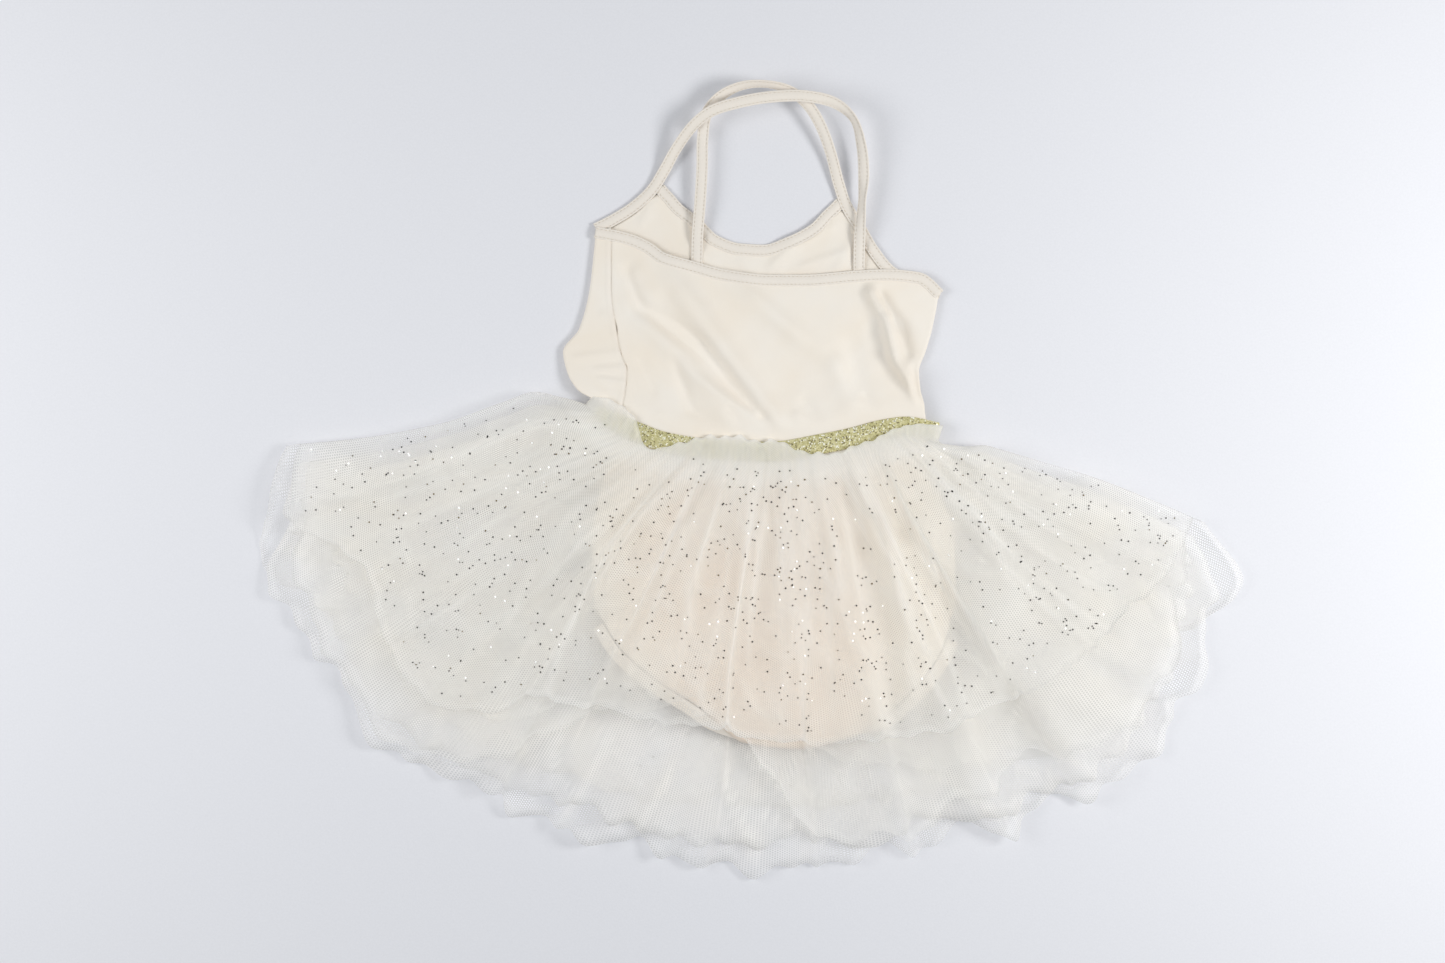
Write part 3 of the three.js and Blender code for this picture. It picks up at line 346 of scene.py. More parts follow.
# The line of each strap, from the side seam up the front's armhole to the shoulder, and on as a free strap
# to the back's top edge. Roll turns the strap on its edge, in degrees.
LEFT_STRAP = {
    "x": [-130.8, -116.9, -101.9, -88.2, -79.4, -69, -56, -43, -22, 2,
          28, 50, 64, 70, 72, 71, 69.5, 69, 69, 69],
    "y": [160.2, 167.3, 176.9, 189.6, 203.2, 221, 237, 246.5, 253, 257,
          257.5, 252.5, 241, 222, 201, 181, 158, 140, 130, 121],
    "z": [2.3, 2, 2, 2.1, 3, 8, 15.5, 19, 20.5, 21, 21, 19.5, 17, 14, 11.5, 9.5, 7, 4, 2.4, 2],
    "roll": [0, 0, 0, 0, 8, 24, 24, 18, 10, 8, 10, 30, 58, 36, 20, 52, 20, 0, 0, 0],
}
RIGHT_STRAP = {
    "x": [130.8, 110.8, 93, 79.8, 69.2, 59, 53.4, 47, 39, 30, 16,
          -2, -21, -37, -46.5, -49.5, -50, -51.5, -53.5, -54, -54],
    "y": [110.6, 119.4, 128.2, 144, 162, 178.8, 195, 218, 238, 252, 263,
          267.5, 266, 258, 246, 228, 205, 180, 155, 140, 126],
    "z": [2.3, 2, 2, 2, 2, 2.2, 3.4, 7.5, 11.5, 13.5, 15, 16.5, 16, 13.5, 12, 10, 9.5, 8, 5.2, 2.6, 2],
    "roll": [0, 0, 0, 0, 0, 0, -8, -20, -20, -22, -48, -62, -52, -30, -18, -10, -10, 0, 0, 0, 0],
}

# How far in from a tape's middle to its edge its stitched groove runs, as a share, and the size of a stitch
GROOVE_AT = 0.66
STITCH_STEP = 3.1
STITCH_HALF = (1.15, 0.26, 0.24)


# Reading the tables


def read(table, key, column, at):
    """One column of a table at values between its rows: a cubic through each pair of rows, whose slope at a
    row is the harmonic mean of the slopes on both sides of it, so that it never overshoots a row."""
    x = np.asarray(table[key], float)
    y = np.asarray(table[column], float)
    slope = np.diff(y) / np.diff(x)
    before, after = slope[:-1], slope[1:]
    level = before * after <= 0
    total = np.where(level, 1, before + after)
    tangent = np.concatenate([slope[:1], np.where(level, 0, 2 * before * after / total), slope[-1:]])
    at = np.clip(at, x[0], x[-1])
    i = np.clip(np.searchsorted(x, at, side="right") - 1, 0, len(x) - 2)
    step = x[i + 1] - x[i]
    t = (at - x[i]) / step
    return (
        y[i] * (1 + 2 * t) * (1 - t) ** 2
        + y[i + 1] * t * t * (3 - 2 * t)
        + step * (tangent[i] * t * (1 - t) ** 2 - tangent[i + 1] * t * t * (1 - t))
    )


def smoothstep(low, high, value):
    """0 below low, 1 above high, and 3t² − 2t³ between them."""
    t = np.clip((value - low) / (high - low), 0, 1)
    return t * t * (3 - 2 * t)


def unevenness(seed, a, b, count=7):
    """A smooth unevenness from about −1 to 1: the mean of a few sine waves in random directions."""
    draw = np.random.default_rng(seed)
    total = 0
    for _ in range(count):
        wave_a, wave_b, phase = draw.uniform(-1, 1), draw.uniform(-1, 1), draw.uniform(0, 2 * np.pi)
        total = total + np.sin(2 * np.pi * (wave_a * a + wave_b * b) + phase)
    return total / np.sqrt(count) / 1.4


def fold_height(folds, a, b, unit_a=1.0, sharp=False):
    """What a list of folds adds to the height at places (a, b). Across its line a fold is a bell, e to the
    minus square, or with sharp a ridge, e to the minus distance. Along its line it fades in and out at both
    ends."""
    total = np.zeros(np.broadcast(a, b).shape)
    for start_a, start_b, end_a, end_b, half, rise in folds:
        run_a, run_b = (end_a - start_a) / unit_a, end_b - start_b
        off_a, off_b = (a - start_a) / unit_a, b - start_b
        along = (off_a * run_a + off_b * run_b) / (run_a**2 + run_b**2)
        aside = np.abs(off_a * run_b - off_b * run_a) / math.hypot(run_a, run_b) / (half / unit_a)
        fade = smoothstep(-0.25, 0.15, along) * (1 - smoothstep(0.8, 1.25, along))
        across = np.exp(-np.sqrt(aside**2 + 0.04) * 1.3) if sharp else np.exp(-(aside**2))
        total += rise * fade * across
    return total


def from_ends(share):
    """How far a share lies from the nearer end, 0 or 1."""
    return np.minimum(share, 1 - share)


def waistline(x):
    return read(WAISTLINE, "x", "y", x)


def band_place(x, down):
    """The place along the waistband so far below its upper edge, and the way up across it there."""
    slope = (waistline(x + 2) - waistline(x - 2)) / 4
    size = np.sqrt(1 + slope**2)
    up_x, up_y = -slope / size, 1 / size
    return x - up_x * down, waistline(x) - up_y * down, up_x, up_y


# Making meshes


def add_piece(name, points, faces, material, uv=None, attributes=None):
    """One mesh object at the origin, from points in millimetres and lists of equal-sided faces. uv holds
    one pair for each corner of the faces, in their order, and attributes one number for each point."""
    if signed_volume(points, faces) < 0:
        uv = None if uv is None else [corners[:, ::-1] for corners in uv]
        faces = [sides[:, ::-1] for sides in faces]
    mesh = bpy.data.meshes.new(name)
    placed = (np.asarray(points, float) - [0, BODICE_MIDDLE, 0]) / 1000
    sizes = np.concatenate([np.full(len(sides), sides.shape[1]) for sides in faces])
    corners = np.concatenate([sides.ravel() for sides in faces])
    mesh.vertices.add(len(placed))
    mesh.vertices.foreach_set("co", placed.astype(np.float32).ravel())
    mesh.loops.add(len(corners))
    mesh.loops.foreach_set("vertex_index", corners.astype(np.int32))
    mesh.polygons.add(len(sizes))
    mesh.polygons.foreach_set("loop_start", (np.cumsum(sizes) - sizes).astype(np.int32))
    mesh.polygons.foreach_set("use_smooth", np.ones(len(sizes), bool))
    if uv is not None:
        layer = mesh.uv_layers.new(name="cloth")
        pairs = np.concatenate([part.reshape(-1, 2) for part in uv])
        layer.data.foreach_set("uv", pairs.astype(np.float32).ravel())
    for key, values in (attributes or {}).items():
        attribute = mesh.attributes.new(key, "FLOAT", "POINT")
        attribute.data.foreach_set("value", values.astype(np.float32).ravel())
    mesh.update(calc_edges=True)
    mesh.validate()
    piece = bpy.data.objects.new(name, mesh)
    bpy.context.scene.collection.objects.link(piece)
    mesh.materials.append(material)
    return piece


def signed_volume(points, faces):
    """The volume inside the faces, below zero where they point inwards."""
    total = 0.0
    for sides in faces:
        first = points[sides[:, 0]]
        for k in range(1, sides.shape[1] - 1):
            area = np.cross(points[sides[:, k]], points[sides[:, k + 1]])
            total += np.einsum("ij,ij->i", first, area).sum()
    return total / 6


def quad_corners(values):
    """The values at the four corners of each cell of a grid, in order round the cell."""
    return [values[:-1, :-1], values[:-1, 1:], values[1:, 1:], values[1:, :-1]]


def grid_normals(grid, round_columns=False):
    """The unit normals of a grid of points: the cross product of its two central differences."""
    if round_columns:
        across = np.roll(grid, -1, axis=1) - np.roll(grid, 1, axis=1)
    else:
        across = np.gradient(grid, axis=1)
    along = np.gradient(grid, axis=0)
    normal = np.cross(across, along)
    return normal / np.maximum(np.linalg.norm(normal, axis=2, keepdims=True), 1e-9)


def cloth_wall(name, grid, thickness, material, uv_grid, round_columns, attributes):
    """A closed thin shell: the grid of middle points is moved out to both sides by half the thickness along
    its normals, and its open edges are closed. A round grid joins its last column to its first. attributes
    hold the values of both sides."""
    rows, columns = grid.shape[:2]
    out = grid_normals(grid, round_columns) * thickness / 2
    points = np.concatenate([(grid + out).reshape(-1, 3), (grid - out).reshape(-1, 3)])
    count = rows * columns
    index = np.arange(count).reshape(rows, columns)
    if round_columns:
        index = np.concatenate([index, index[:, :1]], axis=1)
    else:
        uv_grid = uv_grid[:, :columns]
    face = np.stack([corner.ravel() for corner in quad_corners(index)], axis=1)
    face_uv = np.stack([corner.reshape(-1, 2) for corner in quad_corners(uv_grid)], axis=1)
    faces, uv = [face, face[:, ::-1] + count], [face_uv, face_uv[:, ::-1]]
    rims = [(index[0], uv_grid[0], False), (index[-1], uv_grid[-1], True)]
    if not round_columns:
        rims += [(index[:, 0], uv_grid[:, 0], True), (index[:, -1], uv_grid[:, -1], False)]
    for edge, edge_uv, turned in rims:
        side = np.stack([edge[1:], edge[:-1], edge[:-1] + count, edge[1:] + count], axis=1)
        side_uv = np.stack([edge_uv[1:], edge_uv[:-1], edge_uv[:-1], edge_uv[1:]], axis=1)
        faces.append(side[:, ::-1] if turned else side)
        uv.append(side_uv[:, ::-1] if turned else side_uv)
    both = {key: np.concatenate([one.ravel(), other.ravel()]) for key, (one, other) in attributes.items()}
    return add_piece(name, points, faces, material, uv, both)


def stations(line, roll=0.0, round_line=False):
    """The places along a line with the way across it, level and square to the line and turned about it by
    the roll, and the way out of it."""
    if round_line:
        ahead = np.roll(line, -1, axis=0) - np.roll(line, 1, axis=0)
    else:
        ahead = np.gradient(line, axis=0)
    ahead /= np.linalg.norm(ahead, axis=1, keepdims=True)
    across = np.cross([0, 0, 1], ahead)
    across /= np.linalg.norm(across, axis=1, keepdims=True)
    out = np.cross(ahead, across)
    turn = np.radians(np.broadcast_to(roll, len(line)))[:, None]
    return line, across * np.cos(turn) + out * np.sin(turn), out * np.cos(turn) - across * np.sin(turn)


def tape_profile(width, thickness, groove=0.0, sides=28):
    """The section of a folded tape: a flattened round, |across|⁴ + |height|² = 1, with a stitched groove
    along each edge of its two faces, a bell across."""
    turn = np.linspace(0, 2 * np.pi, sides, endpoint=False)
    across = np.sign(np.cos(turn)) * np.abs(np.cos(turn)) ** 0.5
    height = np.sin(turn)
    sunk = np.exp(-(((np.abs(across) - GROOVE_AT) / 0.12) ** 2)) * groove
    sunk *= np.abs(height) > 0.3
    return np.stack([across * width / 2, height * thickness / 2 - np.sign(height) * sunk], 1)


def carried(name, places, profile, material, round_line=False):
    """A profile carried along stations: each point is the place plus its across and out parts. Open ends
    are closed with a fan round their middle."""
    place, across, out = places
    grid = place[:, None] + across[:, None] * profile[None, :, :1] + out[:, None] * profile[None, :, 1:]
    count, sides = grid.shape[:2]
    index = np.arange(count * sides).reshape(count, sides)
    index = np.concatenate([index, index[:, :1]], axis=1)
    if round_line:
        index = np.concatenate([index, index[:1]], axis=0)
    length = np.concatenate([[0], np.cumsum(np.linalg.norm(np.diff(place, axis=0), axis=1))])
    girth = np.linspace(0, 2 * np.ptp(profile[:, 0]), sides + 1)
    run = np.append(length, length[-1] + 1) if round_line else length
    uv_grid = np.stack(np.meshgrid(run, girth, indexing="ij"), axis=2)
    faces = [np.stack([corner.ravel() for corner in quad_corners(index)], axis=1)]
    uv = [np.stack([corner.reshape(-1, 2) for corner in quad_corners(uv_grid)], axis=1)]
    points = grid.reshape(-1, 3)
    if not round_line:
        middles = len(points) + np.arange(2)
        points = np.concatenate([points, place[[0, -1]]])
        for row, middle, turned in ((0, middles[0], True), (count - 1, middles[1], False)):
            ring = index[row]
            fan = np.stack([np.full(sides, middle), ring[:-1], ring[1:]], axis=1)
            faces.append(fan[:, ::-1] if turned else fan)
            uv.append(np.broadcast_to(uv_grid[row, 0], (sides, 3, 2)))
    return add_piece(name, points, faces, material, uv)


# The skirt


def fan_point(share, out, inset):
    """The plan of the fan: from the waist seam each fold runs straight out along its heading, and near the
    side folds it puffs up by the lift and sinks by the inset. Above the seam it runs straight up over the
    waistband."""
    along = SKIRT_LEFT + share * (SKIRT_RIGHT - SKIRT_LEFT)
    seam_x, seam_y, _, _ = band_place(along, WAISTBAND_WIDTH + SKIRT_SEAM_GAP + np.minimum(out, 0))
    heading = np.radians(read(FAN, "share", "heading", share))
    near_left = np.clip(1 - share / SIDE_LIFT_REACH, 0, 1) ** 2
    near_right = np.clip(1 - (1 - share) / SIDE_LIFT_REACH, 0, 1) ** 2
    lift = near_left * read(SIDE_LIFT, "out", "left", out) + near_right * read(SIDE_LIFT, "out", "right", out)
    sunk = np.where(out >= 0, inset * FOLD_SINK * (near_left + near_right), 0)
    away = np.maximum(out, 0)
    return seam_x + np.cos(heading) * away, seam_y + np.sin(heading) * away + lift - sunk


def fan_width(out):
    """About how wide the fan is so far out: the width between the side folds plus its growth."""
    return SKIRT_RIGHT - SKIRT_LEFT + FAN_SPREAD * np.maximum(out, 0)


def gather_wave(share, out):
    """The large gathers, from 0 in a valley to 1 on a ridge: a cosine across the share, uneven in size and
    wandering a little on the way out."""
    wander = 0.012 * np.sin(2 * np.pi * (1.7 * share + 0.2)) * (out / 300)
    size = 0.62 + 0.38 * np.sin(2 * np.pi * (2.6 * share + 0.35))
    return size * (0.5 - 0.5 * np.cos(2 * np.pi * GATHERS * (share + wander)))


def small_wave(share, out, count, seed):
    """Smaller folds, from 0 to 1: a cosine whose spacing and size are uneven across the share and on the
    way out."""
    wander = 0.35 * unevenness(seed, share * 9, out / 140) + 0.5 * unevenness(seed + 1, share * 3, out / 300)
    size = np.clip(0.55 + 0.5 * unevenness(seed + 2, share * 11, out / 180), 0.05, 1)
    return size * (0.5 - 0.5 * np.cos(2 * np.pi * (count * share + wander)))


def fold_lean(share, out):
    """How far the folds tip over sideways, in millimetres: each fold leans by its own height times an
    uneven amount, so that one side of it is steep and the other one shallow."""
    spread = fan_width(out) / math.pi
    way = np.clip(1.6 * unevenness(31, share * 4, out / 600), -1, 1)
    large = way * 0.8 * spread / GATHERS * gather_wave(share, out)
    small_way = np.clip(1.6 * unevenness(32, share * 7, out / 400), -1, 1)
    small = small_way * 0.5 * spread / SMALL_FOLD_COUNT * small_wave(share, out, SMALL_FOLD_COUNT, 11)
    return (large + small) * smoothstep(5, 60, out)


def curved_share(share, out):
    """The share at which a straight fold is looked up, so that it bends as it runs out."""
    return share + 0.011 * unevenness(95, share * 5, out / 110) + 0.005 * unevenness(96, share * 9, out / 45)


def wrinkle_lines(share, out, seed):
    """Wrinkles that curve across the cloth: the lines where two smooth unevennesses pass through zero, each
    a bell, e to the minus square, across its line, and stronger here and weaker there."""
    total = 0
    for number, (across, along, width) in enumerate(((7, 130, 0.1), (12, 70, 0.16))):
        level = unevenness(seed * 10 + number, share * across, out / along)
        strength = np.clip(0.5 + 0.9 * unevenness(seed * 10 + number + 5, share * 9, out / 80), 0, 1)
        total = total + strength * np.exp(-((level / width) ** 2))
    return total * smoothstep(8, 50, out)


def net_height(net, half, share, out):
    """The height of a net. An under half is its level plus the shared gathers and small folds, and it is
    pressed flat below the leotard. An over half also has tucks, its own unevenness, billows, wrinkles and
    the top folds and creases, and it sinks past the leotard."""
    level = read(LEVELS, "out", net[half], out)
    ripple = read(RIPPLE, "out", "height", out) * gather_wave(share, out)
    small = read(SMALL_FOLDS, "out", "height", out) * small_wave(share, out, SMALL_FOLD_COUNT, 11)
    tucks = read(TUCKS, "out", "height", out) * small_wave(share, out, TUCK_COUNT, 21)
    reach = read(FAN, "share", "reach", share) + LEOTARD_MARGIN
    free = smoothstep(reach, reach + SETTLING, out)
    if half == "under":
        return level + (ripple + small) * free
    bent = curved_share(share, out)
    top = TOP_FOLDS_RISE * fold_height(TOP_FOLDS, bent, out, SHARE_PER_MM)
    top += NET_CREASES_RISE * fold_height(NET_CREASES, bent, out, SHARE_PER_MM, True)
    own = 0.7 * unevenness(net["seed"], share * 14, out / 60) * smoothstep(0, 40, out)
    broad = BROAD_BILLOW * unevenness(91, share * 6, out / 110)
    narrow = NARROW_BILLOW * unevenness(92, share * 12, out / 50)
    billow = (broad + narrow) * smoothstep(15, 90, out)
    wrinkles = WRINKLE_RISE * wrinkle_lines(share, out, net["seed"])
    return (
        level
        + ripple * net["swell"]
        + small
        + tucks
        + own
        + billow
        + wrinkles
        - OVER_DROP * free
        + top * net["follow"] * smoothstep(-5, 60, out)
    )


def hem_distance(net, half, share):
    """How far out the hem lies: the table's line plus two unevennesses that fade at the side folds."""
    ragged = net["ragged"] * (1 if half == "over" else 1.3)
    broad = 3.4 * unevenness(net["seed"] + 40, share * 17, 0)
    fine = 2.8 * unevenness(net["seed"] + 50, share * 48, 0)
    edge = ragged * (broad + fine)
    return read(HEMS, "share", net[half], share) + edge * smoothstep(0, 0.04, from_ends(share))


def net_half(net, half, columns):
    """The grid of one half of a net: its share and its distance out at each row and column, and its points.
    At the side folds the height turns from the over half's to the under half's along an arc."""
    inset = net["inset"]
    t = columns / NET_COLUMNS
    share = t - 0.6 / (2 * np.pi) * np.sin(2 * np.pi * t)
    pull = inset * (np.clip(1 - share / 0.06, 0, 1) ** 2 - np.clip(1 - (1 - share) / 0.06, 0, 1) ** 2)
    share = (share + pull)[None, :]
    hem = hem_distance(net, half, share)
    start = np.zeros_like(share)
    if net["puffs"]:
        cover = read(FAN, "share", "cover", share)
        at_fold = np.minimum(1, from_ends(share) / 0.03)
        uneven = 2.2 * unevenness(61, share * 24, 0) * at_fold
        start = -cover - uneven if half == "over" else -4 - (cover - 4) * (1 - at_fold)
    step = np.linspace(0, 1, NET_ROWS)
    down = (0.62 * step + 0.38 * step**2)[:, None]
    out = start + (hem - start) * down
    share = np.broadcast_to(share, out.shape)
    leaning = share + fold_lean(share, out) / fan_width(out) * smoothstep(0, 0.07, from_ends(share))
    x, y = fan_point(leaning, out, inset)
    outer = NETS["outer_net"]
    middle = (net_height(outer, "over", share, out) + net_height(outer, "under", share, out)) / 2
    off_fold = np.clip((from_ends(share) - inset) / read(SIDE_FOLD, "out", "half", out), 0, 1)
    turned = np.sqrt(1 - (1 - off_fold) ** 2)
    z = middle + (net_height(net, half, share, out) - middle) * turned
    return share, out, np.stack([x, y, z], axis=2)


def net_cover(net, grid, share, out):
    """How much a net hides: 1 − (1 − c)^n, where c is the cover of a flat layer. The number of layers, n,
    grows with the cloth that the gathers take up, with the steepness of the folds, at the hem and the
    waist, and in clouds, and the lines and wrinkles add to it."""
    step = np.roll(grid, -1, axis=1) - np.roll(grid, 1, axis=1)
    cloth_step = np.abs(np.roll(share, -1, axis=1) - np.roll(share, 1, axis=1)) * net["cut"][0] / 2
    length = np.linalg.norm(step, axis=2)
    level_length = np.linalg.norm(step[:, :, :2], axis=2)
    gathered = np.clip(cloth_step / np.maximum(length, 1e-6), 1, 4)
    steep = np.clip(length / np.maximum(level_length, 1e-6), 1, 1.8)
    at_hem = net["edge"] * (np.arange(NET_ROWS) == NET_ROWS - 1)[:, None]
    at_edge = 1 + at_hem + 1.9 * (1 - smoothstep(-2, 26, out))
    bent = curved_share(share, out)
    upper = np.arange(share.shape[1])[None, :] < NET_COLUMNS
    lines = np.where(
        upper,
        fold_height(UPPER_LINES, bent, out, SHARE_PER_MM) * net["follow"] * UPPER_LINES_WEIGHT,
        fold_height(LOWER_LINES, bent, out, SHARE_PER_MM) * LOWER_LINES_WEIGHT,
    )
    lines = lines + wrinkle_lines(share, out, net["seed"]) * WRINKLE_LAYERS
    clouds = np.clip(1 + 0.5 * unevenness(net["seed"] + 70, share * 8, out / 80), 0.35, 1.8)
    layers = gathered * steep * at_edge * clouds + lines
    return 1 - (1 - net["cover"]) ** layers


def net_piece(name, material):
    """One net, all round: the over half from left to right and the under half back again. One face of its
    wall has the cover and the other is clear, so that light meets each layer once."""
    net = NETS[name]
    halves = [
        net_half(net, "over", np.arange(0, NET_COLUMNS)),
        net_half(net, "under", np.arange(NET_COLUMNS, 0, -1)),
    ]
    share = np.concatenate([halves[0][0], halves[1][0]], axis=1)
    out = np.concatenate([halves[0][1], halves[1][1]], axis=1)
    grid = np.concatenate([halves[0][2], halves[1][2]], axis=1)
    grid[:, :, 2] = np.maximum(grid[:, :, 2], NET / 2 + 0.05)
    shares = [share[:, :NET_COLUMNS], 2 - share[:, NET_COLUMNS:], 2 + share[:, :1]]
    across = np.concatenate(shares, axis=1) * net["cut"][0] / 2
    uv_grid = np.stack([across, np.concatenate([out, out[:, :1]], axis=1)], axis=2)
    cover = net_cover(net, grid, share, out)
    covers = {"cover": (cover, 0 * cover)}
    piece = cloth_wall(name + "_cloth", grid, NET, material, uv_grid, True, covers)
    return piece, grid


def flakes(name, grid, material, count, seed):
    """Glitter on the top net: flat six-sided flakes, each two low pyramids base to base, at random places
    of its grid where it isn't steep, thinner to the sides, and most of them on the upper half. Each faces
    up and a little along the cloth's normal, and has a tone from 0 to 1 for its finish's painted light:
    the low tones are painted dark as reflected shade, and the highest are a painted glint."""
    draw = np.random.default_rng(seed)
    rows = grid.shape[0]
    upper = draw.random(count) < FLAKES_ABOVE
    row = (0.1 + 0.89 * draw.random(count) ** 0.62) * (rows - 2)
    along = draw.random(4 * count)
    along = along[draw.random(4 * count) < (1 - 0.6 * np.cos(2 * np.pi * along)) / 1.6][:count]
    column = along * (NET_COLUMNS - 2) + np.where(upper, 0, NET_COLUMNS)
    r, c = row.astype(int), column.astype(int)
    u, v = (row - r)[:, None], (column - c)[:, None]
    near = grid[r, c] * (1 - u) + grid[r + 1, c] * u
    far = grid[r, c + 1] * (1 - u) + grid[r + 1, c + 1] * u
    spot = near * (1 - v) + far * v
    normal = grid_normals(grid, True)[r, c]
    normal *= np.sign(normal[:, 2:] + 1e-9)
    flat = normal[:, 2] > FLAKE_LIMIT
    spot, normal, count = spot[flat], normal[flat], int(flat.sum())
    spot = spot + normal * (NET / 2 + 0.15) + [0, 0, FLAKE_LIFT]
    facing = [0, 0, 1] + 0.4 * normal + draw.normal(0, 0.2, (count, 3))
    facing /= np.linalg.norm(facing, axis=1, keepdims=True)
    side = np.cross(facing, [0.3, 0.9, 0.1])
    side /= np.linalg.norm(side, axis=1, keepdims=True)
    other = np.cross(facing, side)
    turn = np.linspace(0, 2 * np.pi, 6, endpoint=False) + draw.random(count)[:, None] * 2 * np.pi
    radius = draw.uniform(*FLAKE_RADIUS, count)[:, None, None]
    spokes = np.cos(turn)[..., None] * side[:, None] + np.sin(turn)[..., None] * other[:, None]
    tips = np.stack([spot + facing * FLAKE_HALF, spot - facing * FLAKE_HALF], axis=1)
    points = np.concatenate([spot[:, None] + radius * spokes, tips], axis=1).reshape(-1, 3)
    points[:, 2] = np.maximum(points[:, 2], 0.02)
    k = np.arange(6)
    one = np.concatenate(
        [
            np.stack([k, (k + 1) % 6, np.full(6, 6)], axis=1),
            np.stack([(k + 1) % 6, k, np.full(6, 7)], axis=1),
        ]
    )
    faces = (one[None] + 8 * np.arange(count)[:, None, None]).reshape(-1, 3)
    # The tone chooses each flake's painted shade or painted glint in its finish
    tone = np.repeat(draw.random(count), 8)
    return add_piece(name, points, [faces], material, attributes={"tone": tone})


# The leotard


def panel_level(side, x, y):
    return read(PANEL_LEVELS, "above", side, y - waistline(x))


def turn_radius(x, y):
    """The radius of the leotard's side folds, round which its panels turn into each other."""
    return (panel_level("back", x, y) - panel_level("front", x, y)) / 2


def left_turn(y):
    return read(BODY, "y", "left", y) + turn_radius(-124, y)


def right_turn(y):
    return read(BODY, "y", "right", y) - turn_radius(124, y)


def seam_edge(y):
    return read(BODY, "y", "seam", y)


def panel_grid(top, across, left_edge, right_edge):
    """The plan of a panel: its rows run down from its top edge to 22 mm above the waistline, on to 40 mm
    below it, and down to the leg edge. The place across settles in a few steps, because the width depends
    on the height."""
    down = np.concatenate([np.linspace(0, 1, 62), np.linspace(1, 2, 30)[1:], np.linspace(2, 3, 56)[1:]])
    down = down[:, None]
    across = across[None, :]
    x = left_edge(0) + across * (right_edge(0) - left_edge(0)) + 0 * down
    for _ in range(8):
        high = read(top, "x", "y", x)
        waist = waistline(x)
        foot = read(LEGS, "x", "y", x)
        upper = high + (waist + 22 - high) * np.clip(down, 0, 1)
        y = upper - 62 * np.clip(down - 1, 0, 1) + (foot - (waist - 40)) * np.clip(down - 2, 0, 1)
        x = left_edge(y) + across * (right_edge(y) - left_edge(y))
    return x, y


def arc_columns(x, y, z, radius, degrees, way):
    """The columns of a side fold: from the edge at (x, y, z) they turn down round the radius, to the left
    or to the right."""
    turn = np.radians(degrees)[None, :]
    return np.stack(
        [
            x[:, None] + way * np.sin(turn) * radius[:, None],
            np.broadcast_to(y[:, None], (len(y), turn.shape[1])),
            z[:, None] - radius[:, None] * (1 - np.cos(turn)),
        ],
        axis=2,
    )


def jersey_unevenness(x, y, seed):
    """The soft unevenness of knitted cloth that lies loose, about a quarter of a millimetre high."""
    return 0.28 * unevenness(seed, x / 46, y / 46) + 0.14 * unevenness(seed + 1, x / 19, y / 19)


def side_seam(off):
    """The ridge that a side seam raises beside it: a bell across."""
    return 0.7 * np.exp(-((off / 1.6) ** 2))


def back_panel_grid():
    """The back panel: from the left side seam, on top, to the right edge and round it towards the surface.
    Its folds stay clear of the front panel: the height above the lowest level, h, becomes (h + √(h² + 0.3))
    / 2."""
    across = np.linspace(0, 1, 150)
    x, y = panel_grid(BACK_TOP, across, lambda h: seam_edge(h) + SEAM_GAP, right_turn)
    above = y - waistline(x)
    left, right = seam_edge(y), right_turn(y)
    calm = smoothstep(left, left + 8, x) * (1 - smoothstep(right - 8, right, x))
    folds = BACK_FOLDS_RISE * fold_height(BACK_FOLDS, x, y)
    folds += BACK_CREASES_RISE * fold_height(BACK_CREASES, x, y)
    soft = (folds * calm + jersey_unevenness(x, y, 71)) * smoothstep(4, 20, above)
    z = panel_level("back", x, y) + soft + side_seam(x - left - 2.5)
    lowest = panel_level("front", x, y) + JERSEY + 0.25
    z = lowest + 0.5 * (z - lowest + np.sqrt((z - lowest) ** 2 + 0.3))
    edge_x, edge_y, edge_z = x[:, -1], y[:, -1], z[:, -1]
    arc = arc_columns(edge_x, edge_y, edge_z, turn_radius(edge_x, edge_y), np.linspace(0, 140, 11)[1:], 1)
    return np.concatenate([np.stack([x, y, z], axis=2), arc], axis=1)


def front_panel_grid():
    """The front panel: from the left side seam, on top, out and round the left edge, and on below the back.
    The second result is its first column that lies on the surface."""
    wrap_edge = np.linspace(0, 1, 24)
    wrap_x, wrap_y = panel_grid(FRONT_TOP, wrap_edge, lambda h: seam_edge(h) - SEAM_GAP, left_turn)
    creases = WRAP_CREASES_RISE * fold_height(WRAP_CREASES, wrap_x, wrap_y)
    seam = side_seam(wrap_x - seam_edge(wrap_y) + 2.5)
    at_turn = smoothstep(left_turn(wrap_y), left_turn(wrap_y) + 6, wrap_x)
    wrap_z = panel_level("back", wrap_x, wrap_y) + (creases + seam) * at_turn
    x, y = panel_grid(FRONT_TOP, np.linspace(0, 1, 140), left_turn, lambda h: right_turn(h) - SEAM_GAP)
    lying = smoothstep(left_turn(y) + 2, left_turn(y) + 14, x)
    soft = FRONT_CREASES_RISE * fold_height(FRONT_CREASES, x, y)
    soft += 0.5 * np.maximum(unevenness(81, x / 40, y / 40), 0)
    z = panel_level("front", x, y) + soft * lying * smoothstep(60, 100, y)
    edge_x, edge_y = x[:, 0], y[:, 0]
    radius = turn_radius(edge_x, edge_y)
    arc = arc_columns(edge_x, edge_y, z[:, 0] + 2 * radius, radius, np.linspace(0, 180, 14)[:-1], -1)
    wrap = np.stack([wrap_x, wrap_y, wrap_z], axis=2)[:, :-1]
    grid = np.concatenate([wrap, arc, np.stack([x, y, z], axis=2)], axis=1)
    return grid, wrap.shape[1] + arc.shape[1]


